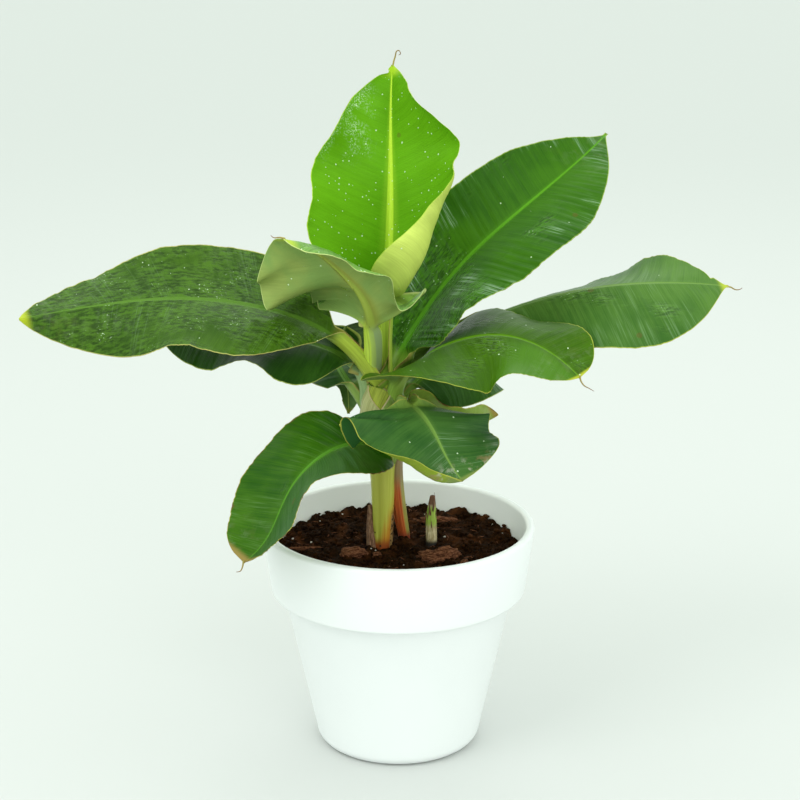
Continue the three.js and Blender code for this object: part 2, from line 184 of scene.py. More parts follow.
# Half thickness and half width of a shred, how far it stands from the shoot's middle, and its unevenness
SHRED_SHAPE = (0.5, 1.7)
SHRED_STANDOFF = (3.6, 0, 0)
SHRED_STRAY = (0.3, 0.3, 0.6)

# Broken bark on the soil: place, half lengths and turn
BARK_CHUNKS = [
    ((30, -39), (12, 7, 7), -12), ((45, -36), (13, 8, 9), 14), ((-42, -32), (12, 7, 5.5), 10),
    ((38, 62), (17, 5, 3.5), 4), ((-90, -18), (17, 1.2, 1.1), 3), ((14, 70), (13, 5, 4), -12),
    ((-20, -34), (5, 4, 3), 40), ((62, -52), (6, 4, 3), 70),
]

# Sheaths that wrap the top of the stem, and the flaring blade base of a hidden leaf: the way each faces
# in degrees, its tissue, and from its foot up the height, half its wrap in degrees and how far it stands
# off the stem
SHEATHS = {
    "sheath_inner": (197, "lime",
        [(292, 160, -1.4), (318, 150, 0.5), (334, 125, 0.7), (350, 100, 0.8), (362, 40, 0.6)]),
    "sheath_right_back": (42, "green",
        [(284, 150, -1.4), (308, 110, 0.9), (326, 70, 1.4), (341, 35, 1.6), (352, 12, 1.4)]),
    "sheath_left": (163, "tan",
        [(280, 165, -1.4), (306, 150, 1.2), (322, 130, 1.8), (338, 98, 2), (354, 40, 2), (361, 15, 1.7)]),
    "sheath_right": (-42, "green",
        [(276, 150, -1.4), (300, 121, 1.8), (317, 92, 2.6), (332, 63, 2.9), (353, 27, 2.8), (362, 10, 2.2)]),
    "sheath_back_left": (140, "green",
        [(281, 140, -1.4), (292, 108, 1.8), (304, 75, 2.7), (322, 42, 3.1), (336, 14, 2.8)]),
    "sheath_front": (-62, "green",
        [(281, 120, -1.4), (290, 88, 2.2), (300, 62, 3.1), (316, 36, 3.5), (330, 14, 3.2)]),
    "blade_base": (128, "blade",
        [(350, 26, 1), (362, 38, 8), (375, 46, 17), (390, 48, 27), (402, 40, 33), (408, 24, 35)]),
}
SHEATH_WALL = 1.1
SHEATH_THINNING = 0.75
SHEATH_RIPPLE = 0.25
SHEATH_RIPPLES = 6
SHEATH_RIPPLE_LENGTH = 40
SHEATH_HALF_COLUMNS = 26
SHEATH_ROWS = 48
DRY_MARGIN = (0.5, 0.42, 0.2)
# Tissue of a sheath: dark and pale colour, margin, and the scale of its streaks across and along, with detail
SHEATH_TINTS = {
    "lime": ((0.22, 0.27, 0.015), (0.4, 0.46, 0.04), DRY_MARGIN, (700.0, 24.0), 4.0),
    "tan": ((0.3, 0.31, 0.1), (0.46, 0.47, 0.2), DRY_MARGIN, (700.0, 24.0), 4.0),
    "green": ((0.17, 0.26, 0.03), (0.3, 0.42, 0.12), DRY_MARGIN, (700.0, 24.0), 4.0),
    "blade": ((0.02, 0.05, 0.008), (0.08, 0.15, 0.03), (0.12, 0.19, 0.03), (45.0, 280.0), 2.0),
}

# Leaves. A foot and lengths are in millimetres, and the rest in degrees, as evenly spaced keys.
# A heading is 0 along +X and 90 along +Y; a pitch of 90 is straight up. A positive fold lifts a
# half and a positive curl rolls its margin upwards. An outline is the share of the blade where it
# is widest, and how round its shoulder, its taper and its point are. A wave is depth, count, start.
# A power sets how close to the margin a curl gathers. A buckle is the place, spread and rise of one
# fold of the margin. A nick is the place, spread and depth of a bite out of it, and one with a
# negative depth makes the margin fuller there. A lean moves the stalk and the blade's base.
LEAVES = {
    "leaf_top": dict(
        foot=(-12, 4, 372), stalk=56, blade=229, channel=12,
        heading=(68, 77, 86, 90, 82), pitch=(101, 73, 71, 72, 62), roll=(4, 1, -8),
        outline=(0.22, 2.05, 2.45, 0.95),
        left=dict(half=94, fold=(58, 25, 26), curl=(10, 24, 38), wave=(4, 3.4, -0.15),
                  nicks=[(0.965, 0.012, 0.55)]),
        right=dict(half=115, fold=(43, 33, 48), curl=(215, 59, 26), wave=(9, 2.25, 0.42), power=2,
                   buckles=[(0.55, 0.06, 13)]),
    ),
    "leaf_upper_right": dict(
        foot=(-5, -2, 370), stalk=15, blade=309, channel=11,
        heading=(49, 16, 23, 35, 53), pitch=(55, 52, 37, 30, 24), roll=(8, 10, 13),
        outline=(0.45, 2.25, 2.4, 0.75),
        left=dict(half=66, fold=(26, 24, 29), curl=(-4, 12, 10), wave=(3.5, 2.3, 0.4)),
        right=dict(half=80, fold=(12, 5, -2), curl=(3, -26, 4), wave=(4, 3.7, 0.3),
                   buckles=[(0, 0.035, -24)]),
    ),
    "leaf_right": dict(
        foot=(-2, 8, 363), stalk=96, blade=243, channel=10,
        heading=(32, 11, -10, -3, 20), pitch=(33, 25, 16, 3, -11), roll=(-18, -3, 10),
        outline=(0.6, 1.8, 2.7, 0.65),
        left=dict(half=58, fold=(1, 1, 24), curl=(-10, -5, 6), wave=(2, 2.4, 0.45),
                  nicks=[(0.93, 0.012, 0.35)]),
        right=dict(half=77, fold=(-40, -50, -32, -25, -18), curl=(-11, -17, -14), wave=(3, 2.6, 0.15)),
    ),
    "leaf_front_right": dict(
        foot=(-2, -14, 345), stalk=15, blade=202, channel=12,
        heading=(-54, -22, -3, -22, -37), pitch=(76, 39, 11, -18, -39), roll=(-10, -9, 2),
        outline=(0.35, 3.2, 2.4, 2.15),
        left=dict(half=66, fold=(-15, 20, 24, 24.5, 27), curl=(3, -30, -3), wave=(6, 2.7, 0.85)),
        right=dict(half=79, fold=(6, -27, 0), curl=(3, -12, 7), wave=(6, 1.8, 0.8)),
    ),
    "leaf_left": dict(
        foot=(-27, -9, 366), stalk=45, blade=299, channel=13,
        heading=(178, 185, 181, 191, 201), pitch=(60, 23.5, 5, -5, -7), roll=(6, 0, -17),
        outline=(0.35, 0.8, 1.7, 1.4),
        left=dict(half=75, fold=(-17, -20, -21, -43, -71), curl=(-46, -9, -47), wave=(3.5, 2.7, 0.8)),
        right=dict(half=69, fold=(38, 32, 34, 18, 0), curl=(38, 7, -6), wave=(3.5, 2.6, 0.75),
                   nicks=[(0.05, 0.045, -0.45)]),
    ),
    "leaf_left_back": dict(
        foot=(-32, 4, 340), stalk=35, blade=191, channel=9,
        heading=(156, 186, 179, 174, 166), pitch=(96, 29, 8, -1, -15), roll=(-10, 4, -5),
        outline=(0.4, 0.8, 2.25, 1.15),
        left=dict(half=64, fold=(-40, -14, -38), curl=(-34, -6, -28), wave=(5, 2.5, -0.1)),
        right=dict(half=55, fold=(15, 10, 5), curl=(0, 0, 0), wave=(3, 2.5, 0), buckles=[(0.04, 0.11, 23)]),
    ),
    "leaf_front_arching": dict(
        foot=(-13, -10, 376), lean=(-10, 0, -1), stalk=54, blade=139, channel=13,
        heading=(275, 259, 201, 208, 204), pitch=(60, 52, 53, 40, 16), roll=(4, -4, 13),
        outline=(0.6, 3.6, 3, 1.2),
        left=dict(half=51, fold=(-38, 58, 39, 17, -3), curl=(15, -28, -58, -39, -70), wave=(3.9, 2.55, 0.08),
                  buckles=[(0.073, 0.076, 42), (0.224, 0.063, -23), (0.297, 0.059, -6.5)],
                  nicks=[(0.085, 0.035, 0.15)]),
        right=dict(half=90, fold=(22, 7, -40, -27, 4), curl=(-20, -24, -10, -2, 0), wave=(7.5, 3.72, 0.78),
                   buckles=[(0.24, 0.115, -16)]),
    ),
    "leaf_front_low": dict(
        foot=(4, -20, 325), stalk=63, blade=97, channel=10,
        heading=(274, 279, 296, 315, 313), pitch=(60, 25, -13, -53, -31), roll=(-5, 0, 7),
        outline=(0.28, 0.85, 3.6, 1.65),
        left=dict(half=70, fold=(-3, 1, 15), curl=(-16, -10, -6), wave=(5, 2.3, 0.35)),
        right=dict(half=79, fold=(-15, 0, -4), curl=(-87, 40, 181), wave=(5.6, 1.9, 0.75), power=3.2,
                   buckles=[(0.14, 0.09, 24), (0.22, 0.03, -34), (0.29, 0.05, 21)]),
    ),
    "leaf_left_drooping": dict(
        foot=(-26, -12, 296), stalk=18, blade=186, channel=10,
        heading=(270, 225, 206, 208, 214), pitch=(37, 4, -40, -64, -23), roll=(-7, 6, 4),
        outline=(0.5, 1.85, 2.9, 2.45),
        left=dict(half=74, fold=(-13, 8, 19), curl=(-10, 2, 8), wave=(5, 2.3, 0.2)),
        right=dict(half=67, fold=(31, 17, 16), curl=(7, 0, 5), wave=(5, 1.35, 0.3)),
    ),
    "leaf_right_low": dict(
        foot=(4, -4, 328), stalk=10, blade=89, channel=8,
        heading=(10, -10, -5, 5, 5), pitch=(67, -20, -24, 7, 33), roll=(-20, -15, -28),
        outline=(0.4, 2.25, 2.45, 1.7),
        left=dict(half=41, fold=(-8, 8, 22), curl=(-3, 1, 4), wave=(2, 1.35, 0.1)),
        right=dict(half=39, fold=(34, 16, 34), curl=(13, 10, 17), wave=(3, 1.9, 0.25)),
    ),
    "leaf_back_right": dict(
        foot=(0, 8, 334), stalk=20, blade=150, channel=9,
        heading=(40, 42, 48, 55, 60), pitch=(48, 22, -10, -35, -50), roll=(0, 0, 0),
        outline=(0.3, 2, 2.2, 1.3),
        left=dict(half=45, fold=(5, 0, -10), curl=(-10, -10, -10), wave=(0, 1, 0)),
        right=dict(half=48, fold=(-65, -45, -10), curl=(-50, -30, -10), wave=(3, 1.5, 0.2)),
    ),
    "leaf_back_left": dict(
        foot=(-32, 10, 330), stalk=23, blade=135, channel=9,
        heading=(165, 121, 83, 70, 61), pitch=(64, 29, -18, -64, -97), roll=(5, -6, -13),
        outline=(0.25, 2.25, 1.75, 1.1),
        left=dict(half=29, fold=(-22, -39, -37), curl=(-15, -35, -26), wave=(7, 1.05, 0.05)),
        right=dict(half=46, fold=(0, -9, -7), curl=(-20, -20, -7), wave=(0, 1, 0)),
    ),
}

# Finish of each leaf: two greens of the upper face, underside, midrib above and below, margin line, stalk
# and tip; then how high its ribs are in millimetres, how wide its midrib is, how far it is wet (with painted
# shade and highlights on its ripples), wet at the base, dotted with drops (painted white as highlights),
# hazed with painted highlights of fine droplets, streaked with painted sheen, scorched at the margin and
# worn, and its tip's reach. A patch is where it fades in across and along the leaf in metres, how strong it
# is, and its colour.
EVERYWHERE = (-1.0, -0.9)
PLAIN_LOOK = dict(
    under=(0.16, 0.27, 0.06), under_rib=(0.3, 0.42, 0.1), under_cloud=None, rib_width=1.0, wet_base=0.0,
    drops=0.0, frost=0.0, streaks=0.2, scorch=0.1, worn=0.0, patches=(), under_patches=(),
)
LOOKS = {
    "leaf_top": dict(
        deep=(0.1, 0.3, 0.004), bright=(0.14, 0.4, 0.008), under=(0.6, 0.72, 0.14), rib=(0.5, 0.72, 0.05),
        under_rib=(0.62, 0.78, 0.2), edge=(0.42, 0.6, 0.05), stalk=(0.5, 0.66, 0.09), tip=(0.4, 0.6, 0.03),
        ribs=0.22, rib_width=1.6, wet=0.15, drops=0.24, frost=1.0, streaks=0.0, scorch=0.08, tip_reach=16,
    ),
    "leaf_upper_right": dict(
        deep=(0.018, 0.085, 0.002), bright=(0.045, 0.155, 0.004), rib=(0.09, 0.29, 0.01),
        edge=(0.3, 0.4, 0.06), stalk=(0.2, 0.34, 0.04), tip=(0.12, 0.2, 0.02), ribs=0.6, wet=0.2, drops=0.02,
        wet_base=0.32, streaks=1.15, worn=0.1, tip_reach=3,
    ),
    "leaf_right": dict(
        deep=(0.035, 0.11, 0.014), bright=(0.09, 0.2, 0.03), rib=(0.14, 0.26, 0.05), edge=(0.42, 0.45, 0.06),
        stalk=(0.2, 0.34, 0.05), tip=(0.42, 0.5, 0.04), ribs=0.42, wet=0.26, drops=0.02, scorch=0.12,
        tip_reach=13,
    ),
    "leaf_front_right": dict(
        deep=(0.028, 0.085, 0.001), bright=(0.055, 0.145, 0.002), rib=(0.1, 0.24, 0.01),
        edge=(0.4, 0.45, 0.06), stalk=(0.26, 0.42, 0.06), tip=(0.42, 0.46, 0.03), ribs=0.35, rib_width=0.9,
        wet=0.4, drops=0.02, streaks=0.4, scorch=0.12, worn=0.1, tip_reach=4,
        # Painted shade: the far half is darker near the base, where it lies in shade
        patches=[((0.0, 0.006), (0.13, 0.08), 0.75, (0.02, 0.07, 0.006)),
                 # Painted light: a brighter yellow-green on the near half towards the tip, where light falls
                 ((0.004, -0.012), (0.11, 0.15), 0.6, (0.07, 0.21, 0.004))],
    ),
    "leaf_left": dict(
        deep=(0.024, 0.072, 0.002), bright=(0.055, 0.13, 0.008), rib=(0.09, 0.2, 0.02),
        edge=(0.52, 0.5, 0.14), stalk=(0.36, 0.46, 0.05), tip=(0.42, 0.5, 0.02), ribs=0.3, rib_width=1.25,
        wet=0.8, drops=0.03, streaks=0.12, scorch=0.12, worn=0.1, tip_reach=13,
    ),
    "leaf_left_back": dict(
        deep=(0.01, 0.045, 0.003), bright=(0.028, 0.09, 0.008), under=(0.1, 0.2, 0.05), rib=(0.09, 0.2, 0.02),
        edge=(0.4, 0.46, 0.1), stalk=(0.26, 0.38, 0.16), tip=(0.2, 0.26, 0.03), ribs=0.3, wet=0.3,
        scorch=0.08, tip_reach=8,
    ),
    "leaf_front_arching": dict(
        deep=(0.08, 0.2, 0.03), bright=(0.19, 0.36, 0.08), under=(0.31, 0.4, 0.1), rib=(0.2, 0.36, 0.05),
        # The stalk's pale green is partly its own colour and partly painted light, raised to stand in for
        # light glowing through it
        under_rib=(0.3, 0.38, 0.06), edge=(0.6, 0.7, 0.26), stalk=(0.55, 0.72, 0.08), tip=(0.4, 0.52, 0.06),
        ribs=0.22, rib_width=1.1, wet=0.5, drops=0.4, wet_base=0.3, scorch=0.08, tip_reach=10,
        under_cloud=(0.21, 0.33, 0.085),
    ),
    "leaf_front_low": dict(
        deep=(0.014, 0.066, 0.012), bright=(0.056, 0.145, 0.026), under=(0.21, 0.29, 0.02),
        rib=(0.15, 0.27, 0.05), edge=(0.45, 0.46, 0.07), stalk=(0.26, 0.38, 0.06), tip=(0.16, 0.22, 0.05),
        ribs=0.4, rib_width=0.9, wet=0.2, drops=0.02, streaks=0.45, scorch=0.2, worn=1.0, tip_reach=5,
        # Painted shade: the underside is darker green near the base, where shade falls
        under_patches=[(EVERYWHERE, (0.05, 0.03), 1.0, (0.021, 0.099, 0.018))],
    ),
    "leaf_left_drooping": dict(
        deep=(0.012, 0.075, 0.001), bright=(0.052, 0.155, 0.002), rib=(0.09, 0.26, 0.02),
        edge=(0.5, 0.42, 0.08), stalk=(0.2, 0.34, 0.04), tip=(0.3, 0.22, 0.06), ribs=0.5, rib_width=0.9,
        wet=0.15, streaks=0.15, scorch=0.75, worn=0.15, tip_reach=9,
        patches=[((0.001, 0.012), EVERYWHERE, 0.55, (0.008, 0.075, 0.0006))],
    ),
    "leaf_right_low": dict(
        deep=(0.06, 0.16, 0.012), bright=(0.14, 0.28, 0.03), under=(0.24, 0.36, 0.05), rib=(0.25, 0.38, 0.05),
        edge=(0.5, 0.44, 0.08), stalk=(0.26, 0.4, 0.07), tip=(0.3, 0.22, 0.05), ribs=0.2, rib_width=0.9,
        wet=0.1, scorch=0.6, worn=0.3, tip_reach=8,
    ),
    "leaf_back_right": dict(
        deep=(0.022, 0.085, 0.01), bright=(0.05, 0.14, 0.018), under=(0.13, 0.24, 0.05),
        rib=(0.13, 0.28, 0.03), edge=(0.42, 0.48, 0.12), stalk=(0.24, 0.38, 0.06), tip=(0.2, 0.26, 0.03),
        ribs=0.4, wet=0.15, streaks=0.3, tip_reach=8,
    ),
    "leaf_back_left": dict(
        deep=(0.01, 0.055, 0.003), bright=(0.03, 0.11, 0.008), under=(0.11, 0.22, 0.05),
        rib=(0.12, 0.27, 0.03), edge=(0.38, 0.42, 0.1), stalk=(0.24, 0.36, 0.08), tip=(0.2, 0.2, 0.03),
        ribs=0.3, wet=0.1, scorch=0.2, tip_reach=8,
    ),
}
SCORCH_BROWN = (0.13, 0.06, 0.02)
# White of painted highlights: glints on wet ripples, water drops and the haze of fine droplets
PAINTED_HIGHLIGHT_WHITE = (0.7, 0.86, 0.6)
# Grey of the painted sheen: pale streaks painted along the veins as reflected light
PAINTED_SHEEN_GREY = (0.32, 0.46, 0.32)

# Threads at the tips of leaves, as steps in millimetres from the tip. The rows are for each step.
THREAD_ROWS = 8
THREAD_SIDES = 6
THREAD_RADII = (0.9, 0.25)
THREADS = {
    "leaf_top": [(0, 0, -3), (1, 0, 3), (2.5, 0, 8), (3.5, -1, 12.5), (6, -1, 13.5), (7.5, 0, 10.5),
                 (5.5, 1, 9)],
    "leaf_right": [(-3, 0, 0), (2, 0, -1), (6, -1, -3), (10, -1, -3), (13, 0, -1.5)],
    "leaf_front_right": [(0, 1, 2), (1, 0, -3), (4, -2, -7), (8, -3, -9), (13, -3, -12)],
    "leaf_front_arching": [(2, 0, 0), (-3, 0, 1), (-8, -1, 1), (-11, 0, 3)],
    "leaf_left_drooping": [(0, 0, 2), (-1, 0, -4), (-3, -1, -8), (-7, -1, -9)],
}


def keyed(keys, t):
    """A smooth run through evenly spaced keys, for t from 0 to 1."""
    last = len(keys) - 1
    x = min(max(t, 0), 1) * last
    i = min(int(x), last - 1)
    f = x - i
    b, c = keys[i], keys[i + 1]
    a = keys[i - 1] if i > 0 else 2 * b - c
    d = keys[i + 2] if i < last - 1 else 2 * c - b
    bend = (2 * a - 5 * b + 4 * c - d) * f * f
    return 0.5 * (2 * b + (c - a) * f + bend + (3 * b - a - 3 * c + d) * f ** 3)


def smooth(low, high, x):
    """0 below low, 1 above high, and a smooth step between them."""
    t = min(max((x - low) / (high - low), 0), 1)
    return t * t * (3 - 2 * t)


def blend(a, b, t):
    return a + (b - a) * t


def bumps(x, y, z):
    """Smooth noise between about -1 and 1."""
    return noise.noise(Vector((x, y, z))) * 2


# Making pieces

def wrapped_grid(columns, rows, place, face_material=None):
    """A closed skin in millimetres: a grid whose columns run round a piece and whose rows run along it.

    place(column, row) gives a point and the vector kept in the place attribute, and face_material
    gives a column's material. The first and the last row are each drawn together to one point.
    """
    bm = bmesh.new()
    bmesh.ops.create_grid(bm, x_segments=columns, y_segments=rows, size=0.5)
    if face_material:
        for face in bm.faces:
            face.material_index = face_material(int((face.calc_center_median().x + 0.5) * columns))
    kept = bm.verts.layers.float_vector.new("place")
    ends = {0: [], rows: []}
    for vert in bm.verts:
        column = round((vert.co.x + 0.5) * columns) % columns
        row = round((vert.co.y + 0.5) * rows)
        vert.co, vert[kept] = place(column, row)
        if row in ends:
            ends[row].append(vert)
    for verts in ends.values():
        middle = sum((v.co for v in verts), Vector()) / len(verts)
        for vert in verts:
            vert.co = middle
    bmesh.ops.remove_doubles(bm, verts=bm.verts, dist=1e-4)
    bmesh.ops.recalc_face_normals(bm, faces=bm.faces)
    return bm


def add_object(name, data):
    thing = bpy.data.objects.new(name, data)
    bpy.context.scene.collection.objects.link(thing)
    return thing


def mesh_of(bm, name, materials):
    mesh = bpy.data.meshes.new(name)
    bm.to_mesh(mesh)
    bm.free()
    for material in materials:
        mesh.materials.append(material)
    return mesh


def add_piece(bm, name, materials, slot, *nodes):
    """Makes an object of a mesh in millimetres, which stands for the CAD nodes named."""
    bmesh.ops.scale(bm, vec=(MM, MM, MM), verts=bm.verts)
    mesh = mesh_of(bm, name, materials)
    mesh.shade_smooth()
    piece = add_object(name, mesh)
    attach(piece, "root")
    if nodes:
        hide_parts(*nodes)


# Leaves

def direction_at(leaf, s):
    """The way a leaf runs at a share s of its stalk and blade."""
    a = radians(keyed(leaf["heading"], s))
    p = radians(keyed(leaf["pitch"], s))
    return Vector((cos(p) * cos(a), cos(p) * sin(a), sin(p)))


def spine_of(leaf):
    """Middle line of a leaf from its foot through stalk and blade."""
    step = (leaf["stalk"] + leaf["blade"]) / SPINE_STEPS
    points = [Vector(leaf["foot"])]
    for i in range(SPINE_STEPS):
        points.append(points[-1] + direction_at(leaf, (i + 0.5) / SPINE_STEPS) * step)
    return points


def outline_share(outline, v):
    """Share of the half width at v along the blade: a round shoulder, then a point."""
    widest, shoulder, taper, point = outline
    if v < widest:
        return (1 - (1 - v / widest) ** 2) ** (1 / shoulder)
    return max(0, 1 - ((v - widest) / (1 - widest)) ** taper) ** (1 / point)


def half_section(leaf, half, v, ribs, seed):
    """One half of a leaf's section at v: across, up, slope and distance from the midrib at each share."""
    on_stalk = smooth(0, 1, 1 - v / BASE_BLEND)
    share = outline_share(leaf["outline"], v) if v >= 0 else 0
    for centre, spread, depth in half.get("nicks", ()):
        share *= 1 - depth * exp(-((v - centre) / spread) ** 2)
    width = blend(max(half["half"] * share, TIP_HALF_WIDTH), leaf["channel"], on_stalk)
    fold = radians(blend(keyed(half["fold"], v), STALK_FOLD, on_stalk))
    curl = radians(blend(keyed(half["curl"], v), STALK_CURL, on_stalk))
    depth, count, start = half["wave"]
    in_blade = min(max(v, 0), 1)
    along = v * leaf["blade"]
    power = half.get("power", CURL_POWER)
    swell = depth * sin(pi * in_blade) ** WAVE_SPREAD * sin(2 * pi * (count * v + start))
    for centre, spread, rise in half.get("buckles", ()):
        swell += rise * exp(-((v - centre) / spread) ** 2)
    points = []
    across = up = 0.0
    before = 0.0
    for u in HALF_SHARES:
        middle = fold + curl * ((u + before) / 2) ** power
        across += cos(middle) * (u - before) * width
        up += sin(middle) * (u - before) * width
        before = u
        slope = fold + curl * u ** power
        distance = u * width
        lift = swell * u * u
        if v > 0:
            phase = along - VEIN_SWEEP * distance
            calm = smooth(*RIDGES_OUT, distance) * smooth(0, RIDGES_FROM_BASE, v)
            calm *= smooth(1, RIDGES_TO_TIP, v)
            lift += ribs * calm * bumps(phase / RIDGE_SPACING, distance / RIDGE_LENGTH, seed)
            for height, gather, long, wide, other in SKIN_BUMPS:
                lift += height * u ** gather * calm * bumps(along / long, distance / wide, seed + other)
        points.append((across - lift * sin(slope), up + lift * cos(slope), slope, distance))
    return points, width, on_stalk


def leaf_frame(leaf, spine, v):
    """A leaf's middle at v, how far it leans over there, and the directions of its side and its face."""
    length = leaf["stalk"] + leaf["blade"]
    s = (leaf["stalk"] + v * leaf["blade"]) / length
    x = min(max(s, 0), 1) * SPINE_STEPS
    i = min(int(x), SPINE_STEPS - 1)
    middle = spine[i].lerp(spine[i + 1], x - i)
    fade = 1 - smooth(LEAN_FADE[0] * leaf["stalk"], LEAN_FADE[1] * leaf["stalk"], s * length)
    along = direction_at(leaf, s)
    heading = radians(keyed(leaf["heading"], s))
    level = Vector((-sin(heading), cos(heading), 0))
    side = Matrix.Rotation(radians(keyed(leaf["roll"], v)), 3, along) @ level
    return middle, Vector(leaf.get("lean", (0, 0, 0))) * fade, side, along.cross(side)


def leaf_row(leaf, spine, v, look, seed):
    """Upper and lower points of a leaf from the left margin to the right, with what place keeps."""
    middle, lean_over, side, normal = leaf_frame(leaf, spine, v)
    in_blade = min(max(v, 0), 1)
    rib_depth = blend(RIB_DEPTH, RIB_DEPTH_AT_TIP, in_blade)
    rib_width = look["rib_width"] * blend(RIB_HALF_WIDTH, RIB_HALF_WIDTH_AT_TIP, in_blade ** RIB_TAPER)
    upper, lower = [], []
    for name, sign in (("left", 1), ("right", -1)):
        points, width, on_stalk = half_section(leaf, leaf[name], v, look["ribs"], seed + sign)
        over, below = [], []
        for across, up, slope, distance in points:
            lean = 0 if distance == 0 else slope
            c, n = cos(lean), sin(lean)
            on_rib = max(0, 1 - (distance / rib_width) ** 2)
            groove = GROOVE_SHARE * rib_depth * on_rib ** 2 * (1 - on_stalk)
            blade = BLADE_THICKNESS * blend(MARGIN_THINNING, 1, smooth(0, MARGIN_REACH, width - distance))
            blade += rib_depth * on_rib ** RIB_ROUNDNESS
            wall = blend(STALK_THICKNESS, STALK_MARGIN, (distance / width) ** 2)
            thick = blend(blade, wall, on_stalk)
            data = Vector((sign * distance * MM, v * leaf["blade"] * MM, (width - distance) * MM))
            kept = 1 if sign < 0 else 1 - (1 - on_stalk) * distance / width
            start = middle + lean_over * kept
            for skin, depth in ((over, groove), (below, thick)):
                point = start + side * (sign * (across + n * depth)) + normal * (up - c * depth)
                skin.append((point, data))
        if sign > 0:
            upper, lower = over[::-1], below[::-1]
        else:
            upper, lower = upper + over[1:], lower + below[1:]
    return upper + lower[::-1]


def look_of(name):
    """The finish of a leaf, with the plain values where it has none of its own."""
    return {**PLAIN_LOOK, **LOOKS[name]}


def leaf_mesh(name):
    """A leaf from its foot inside the stem to its tip, with the upper face as its first material."""
    leaf, look = LEAVES[name], look_of(name)
    seed = SHAPE_SEED_STEP * list(LEAVES).index(name)
    spine = spine_of(leaf)
    stalk_rows = ceil(leaf["stalk"] / STALK_STEP)
    blade_rows = ceil(leaf["blade"] / ROW_STEP)
    places = [-leaf["stalk"] / leaf["blade"] * (1 - i / stalk_rows) for i in range(stalk_rows)]
    places += [i / blade_rows for i in range(blade_rows + 1)]
    rows = [leaf_row(leaf, spine, v, look, seed) for v in places]
    foot, down = spine[0], direction_at(leaf, 0) * -1
    inward = (Vector((*STEM_TOP_MIDDLE, foot.z)) - foot).normalized()
    for drop, shift in FOOT_STEPS:
        move = down * drop + inward * shift
        rows.insert(0, [(point + move, kept) for point, kept in rows[0]])
    rows.insert(0, rows[0])
    rows.append(rows[-1])
    columns = len(rows[0])
    upper_faces = columns // 2 - 1
    return wrapped_grid(columns, len(rows) - 1, lambda column, row: rows[row][column],
                        lambda column: 0 if column < upper_faces else 1)


def thread_mesh(points):
    """A thread through points in millimetres, thick at its foot and thin at its end."""
    rows = THREAD_ROWS * (len(points) - 1)
    line = [Vector([keyed([p[k] for p in points], r / rows) for k in range(3)]) for r in range(rows + 1)]

    def place(column, row):
        ahead = line[min(row + 1, rows)] - line[max(row - 1, 0)]
        side = ahead.cross(Vector((0.2, 1, 0.1))).normalized()
        other = ahead.cross(side).normalized()
        radius = blend(*THREAD_RADII, row / rows)
        turn = 2 * pi * column / THREAD_SIDES
        point = line[row] + (side * cos(turn) + other * sin(turn)) * radius
        return point, Vector((0, row / rows, 0))

    return wrapped_grid(THREAD_SIDES, rows, place)


# Stems

def stem_mesh(ellipses, sides, rows, ripple, seed):
    """A stem through ellipses, with shallow ridges that run up it."""
    columns = list(zip(*ellipses))

    def place(column, row):
        t = row / rows
        z, cx, cy, rx, ry = (keyed(values, t) for values in columns)
        turn = 2 * pi * column / sides
        c, n = cos(turn), sin(turn)
        ridge = ripple * bumps(STEM_RIDGES * c, STEM_RIDGES * n, z / STEM_RIDGE_LENGTH + seed)
        point = Vector((cx + (rx + ridge) * c, cy + (ry + ridge) * n, z))
        return point, Vector((c, n, (z - SOIL_LEVEL) * MM))

    return wrapped_grid(sides, rows, place)


def sheath_mesh(facing, sections):
    """A sheath round the stem, open on its far side, whose wrap and stand-off follow its sections."""
    heights, wraps, offsets = zip(*sections)
    half, rows = SHEATH_HALF_COLUMNS, SHEATH_ROWS

    def place(column, row):
        t = row / rows
        z = keyed(heights, t)
        level = next((i for i, ring in enumerate(PSEUDOSTEM) if i and ring[0] >= z), len(PSEUDOSTEM) - 1)
        low, high = PSEUDOSTEM[level - 1], PSEUDOSTEM[level]
        f = min(1, (z - low[0]) / (high[0] - low[0]))
        cx, cy, rx, ry = (blend(a, b, f) for a, b in zip(low[1:], high[1:]))
        outer = column <= 2 * half
        share = (column - half) / half if outer else (3 * half + 1 - column) / half
        share = max(-1, min(1, share))
        wrap = radians(keyed(wraps, t))
        turn = radians(facing) + wrap * share
        wall = SHEATH_WALL * (1 - SHEATH_THINNING * share ** 4) if outer else 0
        ripple = SHEATH_RIPPLE * bumps(SHEATH_RIPPLES * share, z / SHEATH_RIPPLE_LENGTH, facing) * t
        lift = keyed(offsets, t) + wall + ripple
        point = Vector((cx + (rx + lift) * cos(turn), cy + (ry + lift) * sin(turn), z))
        edge = wrap * rx * (1 - abs(share))
        return point, Vector((share * wrap * rx * MM, (z - SOIL_LEVEL) * MM, edge * MM))

    return wrapped_grid(4 * half + 2, rows, place)


def shreds_mesh():
    """The dry shreds round the side shoot, each a flattened cone that leans outwards."""
    bm = bmesh.new()
    rng = random.Random(SHRED_SEED)
    for turn, low, height, lean in STUB_SHREDS:
        cone = bmesh.ops.create_cone(bm, cap_ends=True, segments=6, radius1=1, radius2=0.12, depth=1)
        around = Matrix.Rotation(radians(turn), 4, "Z")
        shape = Matrix.Diagonal((*SHRED_SHAPE, height, 1))
        tilt = Matrix.Rotation(radians(lean), 4, "Y")
        for vert in cone["verts"]:
            flat = shape @ (vert.co + Vector((0, 0, 0.5)))
            vert.co = Vector((*STUB_MIDDLE, low)) + around @ (Vector(SHRED_STANDOFF) + tilt @ flat)
            vert.co += Vector([rng.uniform(-stray, stray) for stray in SHRED_STRAY])
    return bm


# Pot

